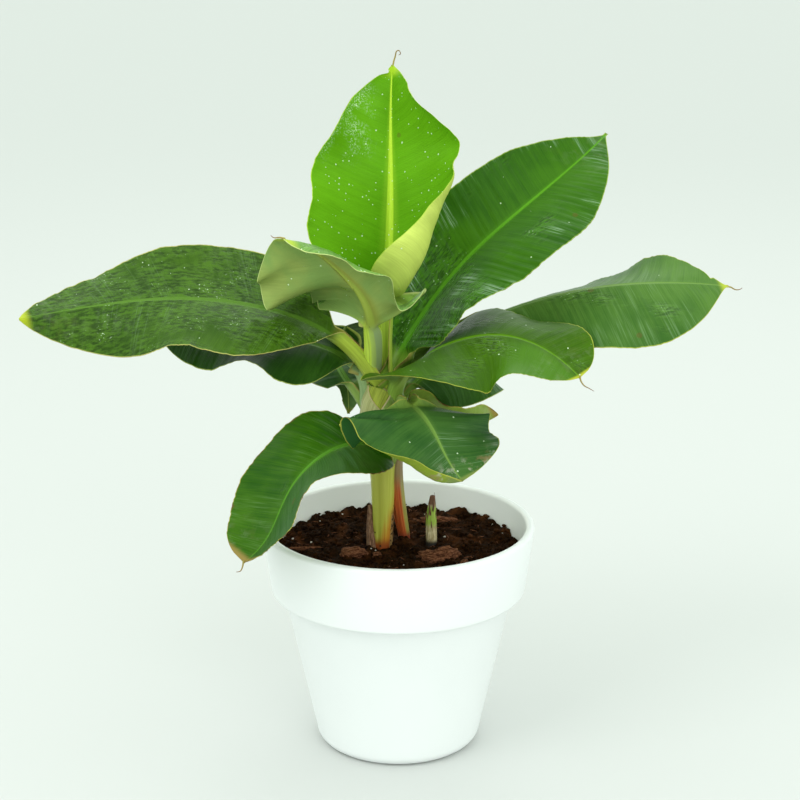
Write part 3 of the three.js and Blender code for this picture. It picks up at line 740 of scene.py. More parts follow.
def arc(cx, cz, radius, start, end, steps):
    """Points of an arc in the pot's section, angles in degrees."""
    turns = [radians(blend(start, end, i / steps)) for i in range(steps + 1)]
    return [(cx + radius * cos(a), cz + radius * sin(a)) for a in turns]


def inner_radius(z):
    """Radius of the pot's inside at a height."""
    at_band = BODY_TOP_RADIUS - POT_WALL
    if z < BAND_BOTTOM:
        return at_band - (BODY_TOP_RADIUS - BASE_RADIUS) / BAND_BOTTOM * (BAND_BOTTOM - z)
    lip_inside = RIM_RADIUS - RIM_LIP
    return at_band + (lip_inside - at_band) * (z - BAND_BOTTOM) / (POT_HEIGHT - RIM_LIP / 2 - BAND_BOTTOM)


def pot_section():
    """The pot's section from the middle of the underside up the outside, over the lip and down inside."""
    slope = (BODY_TOP_RADIUS - BASE_RADIUS) / BAND_BOTTOM
    lip = RIM_LIP / 2
    points = [(0, 0), (BASE_RADIUS - BASE_ROUNDING, 0)]
    foot = BASE_RADIUS + slope * BASE_ROUNDING - BASE_ROUNDING
    points += arc(foot, BASE_ROUNDING, BASE_ROUNDING, -80, -2, 8)
    points.append((BODY_TOP_RADIUS - 0.6, BAND_BOTTOM - 2.5))
    points += arc(BODY_TOP_RADIUS + 1.5, BAND_BOTTOM - BAND_UNDERCUT, BAND_UNDERCUT, 175, 90, 4)
    points += arc(BAND_BOTTOM_RADIUS - BAND_EDGE, BAND_BOTTOM + BAND_EDGE, BAND_EDGE, -90, 0, 6)
    points += arc(RIM_RADIUS - lip, POT_HEIGHT - lip, lip, 0, 180, 12)
    points += [(inner_radius(z), z) for z in INSIDE_HEIGHTS]
    points += [(inner_radius(POT_FLOOR) - 4, POT_FLOOR), (0, POT_FLOOR)]
    return points


def pot_mesh():
    """The pot's section spun round its axis."""
    bm = bmesh.new()
    verts = [bm.verts.new((r, 0, z)) for r, z in pot_section()]
    edges = [bm.edges.new(pair) for pair in zip(verts, verts[1:])]
    bmesh.ops.spin(bm, geom=verts + edges, axis=UP, cent=(0, 0, 0), angle=2 * pi, steps=POT_STEPS,
                   use_merge=True)
    bmesh.ops.remove_doubles(bm, verts=bm.verts, dist=1e-3)
    bmesh.ops.recalc_face_normals(bm, faces=bm.faces)
    return bm


# Soil

def soil_height(x, y):
    """Height of the smooth lumps that the soil's small lumps lie on."""
    lumps = sin(x * 0.11 + 1) * cos(y * 0.13) + 0.6 * sin(x * 0.23 + y * 0.19)
    lumps += 0.4 * cos(y * 0.31 - x * 0.07)
    return SOIL_LEVEL + SOIL_LUMP * lumps - SOIL_EDGE_DROP * hypot(x, y) / RIM_RADIUS


def soil_surface(x, y):
    """Height of the soil with its clods, crumbs and grit."""
    clods = noise.voronoi(Vector((x, y, 0)) / CLOD_SIZE)[0][0]
    crumbs = noise.voronoi(Vector((x, y, 40)) / CRUMB_SIZE)[0][0]
    grit = noise.fractal(Vector((x, y, 5)) / GRIT_SIZE, 0.7, 2.1, 5)
    return soil_height(x, y) + CLOD_RISE * (0.45 - clods) + CRUMB_RISE * (0.4 - crumbs) + GRIT_RISE * grit


def soil_mesh():
    """The soil's surface with a short side down the pot's wall, closed below."""
    edge = inner_radius(SOIL_LEVEL - 4) - SOIL_WALL_GAP
    bm = bmesh.new()
    bmesh.ops.create_grid(bm, x_segments=SOIL_CELLS, y_segments=SOIL_CELLS, size=1)
    for vert in bm.verts:
        a, b = vert.co.x, vert.co.y
        x, y = a * sqrt(1 - b * b / 2) * edge, b * sqrt(1 - a * a / 2) * edge
        vert.co = (x, y, soil_surface(x, y))
    rim = [e for e in bm.edges if e.is_boundary]
    walls = bmesh.ops.extrude_edge_only(bm, edges=rim)["geom"]
    low = [g for g in walls if isinstance(g, bmesh.types.BMVert)]
    for vert in low:
        vert.co.z = SOIL_LEVEL - SOIL_SIDE
        vert.co.xy *= (inner_radius(SOIL_LEVEL - SOIL_SIDE) - SOIL_WALL_GAP) / edge
    bmesh.ops.contextual_create(bm, geom=[e for e in bm.edges if e.is_boundary])
    bmesh.ops.recalc_face_normals(bm, faces=bm.faces)
    return bm


def lump(bm, centre, size, turn, rng, detail=3):
    """An uneven lump with half lengths size, turned about the vertical."""
    shape = Matrix.Rotation(radians(turn), 4, "Z") @ Matrix.Diagonal((*size, 1))
    offset = rng.uniform(0, 90)
    for vert in bmesh.ops.create_icosphere(bm, subdivisions=detail, radius=1)["verts"]:
        out = 1 + LUMP_ROUGHNESS * noise.fractal(vert.co * LUMP_GRAIN + Vector((offset, 0, 0)), 0.8, 2.1, 4)
        vert.co = shape @ (vert.co * out) + Vector(centre)


def random_spot(edge, rng):
    """A random place on the soil inside an edge."""
    radius = edge * sqrt(rng.random())
    turn = rng.uniform(0, 2 * pi)
    return radius * cos(turn), radius * sin(turn)


def fibres(bm, count, rng):
    """Short fibres lying on the soil, each a thin lump."""
    edge = inner_radius(SOIL_LEVEL) - FIBRE_GAP
    for _ in range(count):
        x, y = random_spot(edge, rng)
        size = [rng.uniform(*sizes) for sizes in FIBRE_SIZES]
        lump(bm, (x, y, soil_surface(x, y) + FIBRE_RISE), size, rng.uniform(0, 180), rng, 1)


def scatter(count, sizes, squash, rng):
    """Lumps strewn over the soil, each a small uneven ball."""
    bm = bmesh.new()
    edge = inner_radius(SOIL_LEVEL) - CRUMB_GAP
    for _ in range(count):
        x, y = random_spot(edge, rng)
        size = rng.uniform(*sizes)
        centre = Vector((min(x, edge - size), min(y, edge - size), soil_surface(x, y) + size * CRUMB_RISEN))
        spun = rng.uniform(0, 6.28)
        spin = Matrix.Rotation(spun, 4, Vector((rng.random(), rng.random(), rng.random() + 0.1)))
        for vert in bmesh.ops.create_icosphere(bm, subdivisions=1, radius=size / 2)["verts"]:
            vert.co *= rng.uniform(*CRUMB_STRETCH)
            vert.co = spin @ vert.co
            vert.co.z *= squash
            vert.co += centre
    return bm


# Materials

class Recipe:
    """Adds nodes to a tree and joins them. A value may be a socket, a number or a colour."""

    def __init__(self, tree):
        self.tree = tree

    def add(self, kind, inputs=None, **settings):
        node = self.tree.nodes.new(kind)
        for key, value in settings.items():
            setattr(node, key, value)
        for key, value in (inputs or {}).items():
            self.put(node.inputs[key], value)
        return node

    def put(self, socket, value):
        if isinstance(value, bpy.types.NodeSocket):
            self.tree.links.new(value, socket)
        elif socket.type == "RGBA" and len(value) == 3:
            socket.default_value = (*value, 1)
        else:
            socket.default_value = value

    def math(self, operation, *values):
        return self.add("ShaderNodeMath", dict(enumerate(values)), operation=operation).outputs[0]

    def times(self, first, *others):
        for other in others:
            first = self.math("MULTIPLY", first, other)
        return first

    def plus(self, first, *others):
        for other in others:
            first = self.math("ADD", first, other)
        return first

    def minus(self, a, b):
        return self.math("SUBTRACT", a, b)

    def step(self, value, low, high):
        """0 to 1 in a smooth step from low to high."""
        inputs = {"Value": value, "From Min": low, "From Max": high}
        return self.add("ShaderNodeMapRange", inputs, interpolation_type="SMOOTHSTEP").outputs[0]

    def span(self, value, low, high):
        """0 to 1 spread from low to high."""
        return self.add("ShaderNodeMapRange", {"Value": value, "To Min": low, "To Max": high}).outputs[0]

    def mix(self, factor, a, b):
        node = self.add("ShaderNodeMix", data_type="RGBA")
        self.put(node.inputs[0], factor)
        self.put(node.inputs[6], a)
        self.put(node.inputs[7], b)
        return node.outputs[2]

    def fade(self, value, low, high, a, b):
        """From colour a to colour b in a smooth step from low to high."""
        return self.mix(self.step(value, low, high), a, b)

    def scaled(self, vector, *scale):
        return self.add("ShaderNodeVectorMath", {0: vector, 1: scale}, operation="MULTIPLY").outputs[0]

    def shifted(self, vector, *by):
        return self.add("ShaderNodeVectorMath", {0: vector, 1: by}, operation="ADD").outputs[0]

    def vector(self, x, y, z=0.0):
        return self.add("ShaderNodeCombineXYZ", {0: x, 1: y, 2: z}).outputs[0]

    def noise(self, vector, scale, detail=3.0, rough=0.55):
        inputs = {"Vector": vector, "Scale": scale, "Detail": detail, "Roughness": rough}
        return self.add("ShaderNodeTexNoise", inputs).outputs["Fac"]

    def parts(self, vector):
        return self.add("ShaderNodeSeparateXYZ", {0: vector}).outputs

    def object_place(self):
        return self.add("ShaderNodeTexCoord").outputs["Object"]

    def kept(self):
        """The place attribute of a piece."""
        return self.add("ShaderNodeAttribute", attribute_name="place").outputs["Vector"]

    def group(self, tree, **inputs):
        node = self.add("ShaderNodeGroup")
        node.node_tree = tree
        for key, value in inputs.items():
            self.put(node.inputs[key.replace("_", " ").capitalize()], value)
        return node.outputs

    def bump(self, height, strength, distance):
        inputs = {"Height": height, "Strength": strength, "Distance": distance}
        return self.add("ShaderNodeBump", inputs).outputs[0]


def new_material(name, look):
    """A material whose surface look(recipe) describes as the sockets of a Principled shader."""
    material = bpy.data.materials.new(name)
    material.use_nodes = True
    recipe = Recipe(material.node_tree)
    shader = material.node_tree.nodes["Principled BSDF"]
    for key, value in look(recipe).items():
        recipe.put(shader.inputs[key], value)
    return material


def new_group(name, inputs, outputs, fill):
    """A node group: fill(recipe, inputs) gives the values of its outputs, by name."""
    tree = bpy.data.node_groups.new(name, "ShaderNodeTree")
    for label, default in inputs.items():
        kind = "NodeSocketVector" if isinstance(default, tuple) else "NodeSocketFloat"
        tree.interface.new_socket(label, in_out="INPUT", socket_type=kind).default_value = default
    for label in outputs:
        tree.interface.new_socket(label, in_out="OUTPUT", socket_type="NodeSocketFloat")
    recipe = Recipe(tree)
    given = recipe.add("NodeGroupInput").outputs
    result = recipe.add("NodeGroupOutput")
    for label, value in fill(recipe, given).items():
        recipe.put(result.inputs[label], value)
    return tree


def fill_veins(r, given):
    """Veins that sweep from the midrib to the margin, as rounded ridges and as fine streaks."""
    out = r.math("ABSOLUTE", given["Across"])
    phase = r.minus(given["Along"], r.times(out, given["Sweep"]))
    side = r.times(r.math("SIGN", given["Across"]), 3.0)
    wobble = r.times(r.noise(r.vector(r.times(phase, 60.0), side), 1.0), 5.0)
    turn = r.plus(r.math("DIVIDE", r.times(phase, 2 * pi), given["Spacing"]), wobble)
    fine = r.vector(r.times(phase, 900.0), r.times(out, 22.0), side)
    # Broad bands along the veins, used for painted crease shade in the leaf's tone and as the mask of its
    # painted sheen
    broad = r.vector(r.times(phase, 130.0), r.times(out, 9.0), side)
    return {"Ridges": r.span(r.math("SINE", turn), 0.0, 1.0), "Streaks": r.noise(fine, 1.0, 4.0, 0.6),
            "Bands": r.noise(broad, 1.0, 2.0)}


def fill_rib(r, given):
    """How far a point is on the midrib, whose half width falls from its base to its tip."""
    share = r.step(given["Along"], 0.0, given["Length"])
    half = r.plus(given["Base"], r.times(share, r.minus(given["Tip"], given["Base"])))
    out = r.math("DIVIDE", r.math("ABSOLUTE", given["Across"]), half)
    return {"Mask": r.step(out, 1.1, 0.75), "Beside": r.step(out, 3.0, 1.0)}


def fill_wet(r, given):
    """Patches where water lies on a leaf, and the ripples of its skin, drawn out along the leaf."""
    across, along, seed = given["Across"], given["Along"], given["Seed"]
    coarse = r.vector(r.times(across, 24.0), r.times(along, 15.0), seed)
    fine = r.vector(r.times(across, 430.0), r.times(along, 140.0), seed)
    wet = r.step(r.plus(r.noise(coarse, 1.0, 2.0), given["Amount"]), 0.7, 0.9)
    return {"Mask": wet, "Ripples": r.step(r.noise(fine, 1.0, 3.0, 0.6), 0.36, 0.64)}


def fill_specks(r, given):
    """Scattered small round spots, more of them where the amount is higher."""
    node = r.add("ShaderNodeTexVoronoi", {"Vector": given["Vector"], "Scale": given["Scale"]})
    chosen = r.math("LESS_THAN", r.parts(node.outputs["Color"])[0], given["Amount"])
    size = r.times(r.parts(node.outputs["Color"])[1], 0.28)
    return {"Mask": r.times(chosen, r.math("LESS_THAN", node.outputs["Distance"], size))}


VEINS = new_group("leaf veins", {"Across": 0.0, "Along": 0.0, "Spacing": 0.002, "Sweep": VEIN_SWEEP},
                  ["Ridges", "Streaks", "Bands"], fill_veins)
RIB = new_group("midrib", {"Across": 0.0, "Along": 0.0, "Length": 0.2, "Base": 0.004, "Tip": 0.001},
                ["Mask", "Beside"], fill_rib)
WET = new_group("wet film", {"Across": 0.0, "Along": 0.0, "Seed": 0.0, "Amount": 0.3}, ["Mask", "Ripples"],
                fill_wet)
SPECKS = new_group("specks", {"Vector": (0.0, 0.0, 0.0), "Scale": 200.0, "Amount": 0.3}, ["Mask"],
                   fill_specks)


def specks(r, place, scale, amount):
    """Mask of scattered small round spots."""
    return r.group(SPECKS, vector=place, scale=scale, amount=amount)["Mask"]


def shade(colour, share):
    """A colour made darker or paler."""
    return tuple(share * c for c in colour)


def leaf_places(r, look, seed, length, upper):
    """Where a point lies on a leaf, with the veins, the midrib and the wet film there."""
    across, along, edge = r.parts(r.kept())
    amount = look["wet"] * (0.5 if upper else 0.2)
    if upper and look["wet_base"]:
        amount = r.plus(r.times(r.step(along, 0.5 * length, 0.25 * length), look["wet_base"]), amount)
    rib_base = RIB_HALF_WIDTH * RIB_SHOWN[0] * look["rib_width"] * MM
    rib_tip = RIB_HALF_WIDTH_AT_TIP * RIB_SHOWN[1] * MM
    return SimpleNamespace(
        across=across, along=along, edge=edge,
        place=r.shifted(r.object_place(), seed, 0, seed),
        veins=r.group(VEINS, across=across, along=along),
        rib=r.group(RIB, across=across, along=along, length=length, base=rib_base, tip=rib_tip),
        wet=r.group(WET, across=across, along=along, seed=seed, amount=amount),
        grain=r.noise(r.vector(r.times(across, 520.0), r.times(along, 16.0), seed), 1.0, 3.0, 0.6),
        on_stalk=r.step(along, 0.012, -0.004),
    )


def upper_blade(r, p, look, tone):
    """The upper face: two greens, painted shade in the hollows of the wet ripples and painted highlights on
    their crests, painted sheen in streaks, and painted glints.
    """
    film, ripples = p.wet["Mask"], p.wet["Ripples"]
    blade = r.mix(tone, look["deep"], look["bright"])
    blade = r.mix(r.times(p.rib["Beside"], 0.22), blade, look["rib"])
    # Painted shade in the hollows of the wet ripples, then painted highlights on their crests
    blade = r.mix(r.times(film, 0.65, r.minus(1.0, ripples)), blade, shade(look["deep"], 0.5))
    blade = r.mix(r.times(film, 0.5, ripples), blade, shade(look["bright"], 1.5))
    # Painted sheen: pale grey streaks along the veins, painted highlights of light on the ribs
    sheen = r.times(r.step(p.veins["Bands"], 0.46, 0.6), r.step(p.veins["Streaks"], 0.46, 0.62),
                    r.step(r.noise(p.place, 11.0, 2.0), 0.46, 0.58), 0.7 * look["streaks"])
    blade = r.mix(sheen, blade, PAINTED_SHEEN_GREY)
    # Painted glints: small white highlights painted on the crests of wet ripples
    glint = r.times(r.step(r.noise(p.place, 480.0, 2.0), 0.64, 0.7), r.step(r.noise(p.place, 30.0), 0.5, 0.6),
                    film, ripples, 0.7)
    return r.mix(glint, blade, PAINTED_HIGHLIGHT_WHITE)


def under_blade(r, p, look, tone):
    """The lower face: paler, and olive beside the midrib."""
    under = look["under"]
    blade = r.mix(tone, shade(under, 0.75), under)
    if look["under_cloud"]:
        blade = r.fade(r.noise(p.place, 22.0, 2.0), 0.35, 0.6, blade, look["under_cloud"])
    olive = tuple(0.8 * c * k for c, k in zip(under, (1.1, 0.85, 0.4)))
    return r.mix(r.times(p.rib["Beside"], 0.6), blade, olive)


def painted_droplet_haze_mask(r, p):
    """Painted highlights: a haze of fine droplets painted white on the far part of one half."""
    region = r.times(r.step(p.across, 0.01, 0.03), r.step(p.along, 0.125, 0.165), r.step(p.along, 0.225, 0.2))
    grain = r.step(r.noise(p.place, 620.0, 3.0, 0.7), 0.5, 0.6)
    cloud = r.step(r.noise(r.scaled(p.place, 1.0, 1.0, 0.6), 55.0, 3.0), 0.42, 0.62)
    return r.times(region, grain, cloud, 0.55)


def stalk_colour(r, p, look, name):
    """Fine grain along the stalk, with painted shade along one leaf's stalk channel and a flushed side on
    another's.
    """
    stalk = r.fade(p.grain, 0.3, 0.7, shade(look["stalk"], 0.78), shade(look["stalk"], 1.15))
    if name == "leaf_front_arching":
        # Painted shade: a duller grey-green along the inside of the stalk's channel
        groove = r.times(r.step(p.across, -0.001, 0.001), r.step(p.across, 0.008, 0.006))
        stalk = r.mix(groove, stalk, (0.34, 0.45, 0.2))
    if name == "leaf_left":
        flush = r.times(r.step(p.across, 0.004, -0.01), r.step(p.grain, 0.2, 0.7), 0.6)
        stalk = r.mix(flush, stalk, (0.42, 0.26, 0.07))
    return stalk


def margin_colour(r, p, look, colour):
    """The thin margin line, and scorched brown where the margin is ragged."""
    line = r.times(r.step(p.edge, 0.0012, 0.0004), r.span(r.noise(p.place, 70.0, 2.0), 0.45, 1.2))
    colour = r.mix(line, colour, r.mix(r.times(p.on_stalk, 0.7), look["edge"], (0.42, 0.3, 0.1)))
    scorch = look["scorch"]
    ragged = r.plus(p.edge, r.times(r.noise(p.place, 60.0, 3.0), -0.02 * scorch))
    burnt = r.times(r.step(ragged, -0.008 * scorch, -0.0125 * scorch - 0.0004), r.step(p.edge, 0.012, 0.004))
    return r.mix(burnt, colour, SCORCH_BROWN)


def leaf_relief(r, p, drops):
    """Height of ribs, streaks, wet ripples and drops on the blade, and of the grain on the stalk."""
    height = r.plus(r.times(p.veins["Ridges"], 0.1), r.times(p.veins["Streaks"], 0.45),
                    r.times(p.wet["Mask"], p.wet["Ripples"], 0.9), drops)
    return r.plus(r.times(height, r.minus(1.0, p.on_stalk)), r.times(p.grain, p.on_stalk))


def worn_colour(r, p, look, length, colour):
    """Brown and grey wear near the tip."""
    worn = r.times(r.step(p.along, 0.72 * length, 0.95 * length),
                   r.step(r.noise(p.place, 95.0, 4.0, 0.65), 0.5, 0.62), 0.7 * look["worn"])
    wear = r.fade(r.noise(p.place, 60.0, 2.0), 0.42, 0.56, (0.24, 0.17, 0.08), (0.45, 0.46, 0.36))
    return r.mix(worn, colour, wear)


def leaf_face(name, upper):
    """The material of a leaf's upper or lower face."""
    look = look_of(name)
    seed = LOOK_SEED_STEP * list(LEAVES).index(name)
    length = LEAVES[name]["blade"] * MM
    paint = upper_blade if upper else under_blade
    wetness = look["drops"] * (1.0 if upper else 0.1)

    def surface(r):
        p = leaf_places(r, look, seed, length, upper)
        # Tone: random noise and fine vein streaks, plus broad bands along the veins that paint the shade and
        # light of shallow creases
        tone = r.plus(r.times(r.noise(p.place, 14.0, 3.0), 0.55), r.times(p.veins["Streaks"], 0.3),
                      r.times(p.veins["Bands"], 0.25))
        blade = paint(r, p, look, r.step(tone, 0.38, 0.72))
        for across, along, share, patch in look["patches" if upper else "under_patches"]:
            blade = r.mix(r.times(r.step(p.across, *across), r.step(p.along, *along), share), blade, patch)
        # Painted highlights: a haze of fine droplets painted white on one leaf
        if upper and look["frost"]:
            blade = r.mix(painted_droplet_haze_mask(r, p), blade, PAINTED_HIGHLIGHT_WHITE)
        colour = r.mix(p.rib["Mask"], blade, look["rib" if upper else "under_rib"])
        colour = worn_colour(r, p, look, length, colour)
        reach = look["tip_reach"] * MM
        colour = r.fade(p.along, length - reach, length - 0.3 * reach, colour, look["tip"])
        # Water drops: their relief is bump, and the white painted on them is painted highlight
        drops = specks(r, p.place, 330.0, wetness)
        colour = r.mix(r.times(drops, 0.8), colour, PAINTED_HIGHLIGHT_WHITE)
        stain = specks(r, p.place, 75.0, 0.03)
        colour = r.mix(r.times(stain, 0.35), colour, SCORCH_BROWN)
        colour = r.mix(p.on_stalk, colour, stalk_colour(r, p, look, name))
        colour = margin_colour(r, p, look, colour)
        film = p.wet["Mask"]
        return {"Base Color": colour, "Roughness": r.span(film, 0.42, 0.3),
                "Normal": r.bump(leaf_relief(r, p, drops), 0.6, 0.0008), "Specular IOR Level": 0.09,
                "Coat Weight": r.times(film, 0.12), "Coat Roughness": 0.16}

    return new_material(f"{name} {'upper' if upper else 'under'}", surface)


def skin(r, colour, roughness, relief, shine=0.5):
    """The sockets of a plain skin, with relief as height, strength and depth in metres."""
    return {"Base Color": colour, "Roughness": roughness, "Normal": r.bump(*relief),
            "Specular IOR Level": shine}


def fibrous(r, stretch, scale, detail, dark, pale, roughness, strength, depth, shine=0.5):
    """The sockets of a skin of fibres, drawn out along one axis."""
    fibres = r.noise(r.scaled(r.object_place(), *stretch), scale, detail, 0.65)
    return skin(r, r.fade(fibres, 0.35, 0.7, dark, pale), roughness, (fibres, strength, depth), shine)


def thread_look(r):
    """A thread that dries from olive to brown towards its end."""
    along = r.parts(r.kept())[1]
    return {"Base Color": r.mix(along, (0.35, 0.3, 0.06), (0.16, 0.045, 0.02)), "Roughness": 0.6}


def stem_look(r):
    """Yellow-green sheath tissue with an olive band in front, orange at the foot and lime at the top."""
    kept = r.kept()
    cosine, sine, height = r.parts(kept)
    streaks = r.noise(r.scaled(kept, 4.0, 4.0, 9.0), 1.6, 4.0, 0.6)
    green = r.fade(streaks, 0.25, 0.8, (0.46, 0.48, 0.055), (0.56, 0.56, 0.1))
    band = r.times(r.step(cosine, -0.55, -0.25), r.step(cosine, 0.25, -0.05), r.step(sine, 0.0, -0.4))
    green = r.mix(r.times(band, r.span(streaks, 0.4, 0.6)), green, (0.36, 0.36, 0.035))
    orange = r.fade(streaks, 0.3, 0.7, (0.45, 0.13, 0.015), (0.6, 0.32, 0.03))
    reach = r.plus(r.minus(height, r.times(cosine, 0.032)), r.times(streaks, 0.05))
    colour = r.fade(reach, 0.055, 0.018, green, orange)
    colour = r.fade(height, 0.012, 0.002, colour, (0.3, 0.07, 0.015))
    lime = r.mix(streaks, (0.28, 0.33, 0.015), (0.46, 0.5, 0.04))
    colour = r.fade(height, 0.09, 0.15, colour, lime)
    dots = specks(r, r.object_place(), 230.0, 0.09)
    colour = r.mix(dots, colour, (0.05, 0.02, 0.01))
    spots = r.noise(r.object_place(), 260.0, 3.0)
    rot = r.fade(spots, 0.47, 0.55, (0.32, 0.19, 0.07), (0.02, 0.01, 0.006))
    colour = r.mix(r.times(r.step(cosine, 0.72, 0.86), r.step(height, 0.04, 0.03)), colour, rot)
    return skin(r, colour, 0.4, (streaks, 0.14, 0.001), 0.3)


def sheath_look(tint):
    """Sheath tissue ribbed lengthwise, or a blade's base rippled across, with its own margin."""
    deep, pale, margin, drawn_out, detail = SHEATH_TINTS[tint]

    def surface(r):
        kept = r.kept()
        edge = r.parts(kept)[2]
        streaks = r.noise(r.scaled(kept, *drawn_out, 0.0), 1.0, detail, 0.5)
        colour = r.fade(streaks, 0.32, 0.7, deep, pale)
        colour = r.fade(edge, 0.0017, 0.0006, colour, margin)
        dots = specks(r, r.object_place(), 260.0, 0.12)
        colour = r.mix(r.times(dots, r.step(edge, 0.007, 0.002)), colour, (0.07, 0.03, 0.012))
        return skin(r, colour, 0.42, (streaks, 0.45, 0.0009), 0.3)

    return new_material(f"{tint} sheath", surface)


def red_sheath_look(r):
    """A sheath that reddens to its foot, green along its right side and dusky at the top."""
    kept = r.kept()
    cosine, sine, height = r.parts(kept)
    streaks = r.noise(r.scaled(kept, 4.0, 4.0, 7.0), 1.8, 4.0, 0.6)
    red = r.fade(streaks, 0.3, 0.7, (0.42, 0.045, 0.012), (0.62, 0.19, 0.05))
    green = r.mix(streaks, (0.27, 0.25, 0.04), (0.48, 0.44, 0.12))
    colour = r.fade(cosine, 0.35, 0.75, red, green)
    dusky = r.mix(streaks, (0.2, 0.12, 0.04), (0.34, 0.24, 0.08))
    colour = r.fade(height, 0.05, 0.075, colour, dusky)
    colour = r.fade(height, 0.012, 0.003, colour, (0.3, 0.06, 0.03))
    return skin(r, colour, 0.36, (streaks, 0.4, 0.001))


def dry_look(r):
    dark, pale = (0.12, 0.045, 0.02), (0.4, 0.22, 0.12)
    return fibrous(r, (1.0, 1.0, 0.18), 900.0, 4.0, dark, pale, 0.75, 0.8, 0.0012)


def stub_look(r):
    """A cut shoot: cream fibres with a lime patch, brown at its top and dark at the soil."""
    height = r.parts(r.kept())[2]
    fibres = r.noise(r.scaled(r.object_place(), 1.0, 1.0, 0.3), 500.0, 4.0, 0.6)
    cream = r.fade(fibres, 0.35, 0.7, (0.36, 0.27, 0.12), (0.72, 0.62, 0.38))
    patch = r.times(r.step(height, 0.014, 0.02), r.step(height, 0.038, 0.033))
    colour = r.mix(patch, cream, (0.32, 0.45, 0.06))
    colour = r.fade(height, 0.035, 0.039, colour, (0.16, 0.07, 0.035))
    colour = r.fade(height, 0.004, -0.001, colour, (0.02, 0.015, 0.012))
    return skin(r, colour, 0.7, (fibres, 0.7, 0.0012))


def glaze_look(r):
    """White satin glaze, faintly mottled, and painted whiter on the inside under the rim as painted light."""
    place = r.object_place()
    x, y, height = r.parts(place)
    out = r.math("POWER", r.plus(r.times(x, x), r.times(y, y)), 0.5)
    # Painted light: the inside under the rim is made whiter so it reads as lit
    inside = r.times(r.step(out, 0.1255, 0.1235), r.step(height, 0.19, 0.195))
    white = r.mix(r.noise(place, 9.0, 3.0), (0.79, 0.81, 0.82), (0.83, 0.85, 0.85))
    unevenness = r.noise(place, 45.0, 2.0)
    colour = r.mix(inside, white, (0.97, 0.98, 0.97))
    return skin(r, colour, r.span(unevenness, 0.3, 0.42), (unevenness, 0.06, 0.001), 0.45)


def peat_look(r):
    """Dark moist peat with paler brown patches."""
    place = r.object_place()
    grains = r.noise(place, 420.0, 6.0, 0.7)
    dark = r.fade(grains, 0.35, 0.7, (0.006, 0.002, 0.0004), (0.034, 0.012, 0.002))
    brown = r.mix(grains, (0.025, 0.008, 0.002), (0.12, 0.04, 0.012))
    colour = r.fade(r.noise(place, 45.0, 3.0), 0.48, 0.72, dark, brown)
    return skin(r, colour, 0.9, (grains, 1.0, 0.0018), 0.06)


def perlite_look(r):
    grains = r.noise(r.object_place(), 900.0, 3.0)
    return {"Base Color": r.mix(grains, (0.55, 0.5, 0.42), (0.85, 0.82, 0.78)), "Roughness": 0.8}


def bark_look(r):
    dark, pale = (0.05, 0.016, 0.006), (0.3, 0.12, 0.06)
    return fibrous(r, (0.35, 1.0, 1.0), 700.0, 5.0, dark, pale, 0.9, 0.9, 0.0018, 0.1)


def floor_look(r):
    return {"Base Color": FLOOR_GREY, "Roughness": 0.8}


# The scene round the plant

def light(name, place, size, power):
    """A soft square lamp, in metres and watts, aimed at the plant."""
    lamp = bpy.data.lights.new(name, "AREA")
    lamp.size, lamp.energy = size, power
    holder = add_object(name, lamp)
    holder.location = place
    holder.rotation_euler = (Vector(LAMP_AIM) - Vector(place)).to_track_quat("-Z", "Y").to_euler()


def build_stage():
    bm = bmesh.new()
    bmesh.ops.create_grid(bm, x_segments=1, y_segments=1, size=FLOOR_SIZE)
    floor = add_object("floor", mesh_of(bm, "floor", [new_material("pale floor", floor_look)]))
    world = bpy.data.worlds.new("soft room")
    world.use_nodes = True
    backdrop = world.node_tree.nodes["Background"]
    backdrop.inputs["Color"].default_value = ROOM_COLOUR
    backdrop.inputs["Strength"].default_value = ROOM_STRENGTH
    bpy.context.scene.world = world
    for name, settings in LAMPS.items():
        light(name, *settings)
    bpy.context.scene.view_settings.view_transform = "Standard"


def build_camera():
    camera = bpy.data.cameras.new("camera")
    camera.lens = CAMERA_LENS
    camera.sensor_width = FILM_WIDTH
    holder = add_object("camera", camera)
    holder.location = CAMERA_PLACE
    holder.rotation_euler = (radians(90 - CAMERA_DIP), 0, 0)
    bpy.context.scene.camera = holder


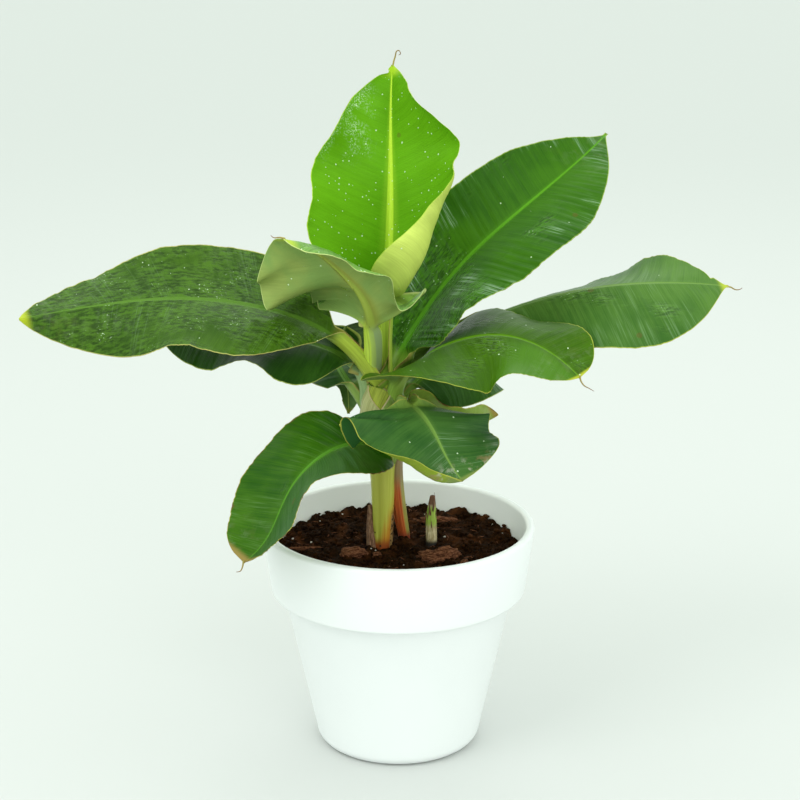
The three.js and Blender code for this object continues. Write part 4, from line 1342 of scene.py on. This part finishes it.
def build_pot():
    add_piece(pot_mesh(), "pot_glazed", [new_material("white glaze", glaze_look)], "pot_glaze", "pot")


def build_soil():
    peat = new_material("peat", peat_look)
    add_piece(soil_mesh(), "soil_surface", [peat], "soil", "soil")
    rng = random.Random(SOIL_SEED)
    add_piece(scatter(*CRUMBS, rng), "soil_crumbs", [peat], "soil")
    bm = bmesh.new()
    for centre, size, turn in BARK_CHUNKS:
        lump(bm, (*centre, soil_surface(*centre) + BARK_RISE * size[2]), size, turn, rng)
    fibres(bm, FIBRE_COUNT, rng)
    add_piece(bm, "soil_fibres", [new_material("bark", bark_look)], "soil")
    grains = scatter(*PERLITE, rng)
    add_piece(grains, "perlite_grains", [new_material("perlite", perlite_look)], "soil")


def build_stem(name, ellipses, look, slot, node):
    """A stem with its own material, which stands for a CAD node."""
    mesh = stem_mesh(ellipses, *STEM_CUTS[name])
    add_piece(mesh, name, [new_material(name.replace("_", " "), look)], slot, node)


def build_stems():
    build_stem("stem", PSEUDOSTEM, stem_look, "stem_green", "pseudostem")
    tints = {tint: sheath_look(tint) for tint in SHEATH_TINTS}
    for name, (facing, tint, sections) in SHEATHS.items():
        add_piece(sheath_mesh(facing, sections), name, [tints[tint]], "stem_green")
    build_stem("red_sheath", OLD_SHEATH, red_sheath_look, "sheath_red", "old_sheath")
    build_stem("papery_sheath", DRY_SHEATH, dry_look, "sheath_dry", "dry_sheath")
    add_piece(shreds_mesh(), "stub_shreds", [new_material("dry shreds", dry_look)], "sheath_dry")
    build_stem("cut_shoot", SUCKER_STUB, stub_look, "stub", "sucker_stub")


def build_leaves():
    brown = new_material("dry tip", thread_look)
    for name, leaf in LEAVES.items():
        faces = [leaf_face(name, True), leaf_face(name, False)]
        slot = "leaf_bright" if name == "leaf_top" else "leaf_green"
        add_piece(leaf_mesh(name), f"{name}_blade", faces, slot, name)
        if name in THREADS:
            tip = spine_of(leaf)[-1]
            line = [tip + Vector(step) for step in THREADS[name]]
            add_piece(thread_mesh(line), f"{name}_thread", [brown], slot)


build_camera()
build_stage()
build_pot()
build_soil()
build_stems()
build_leaves()
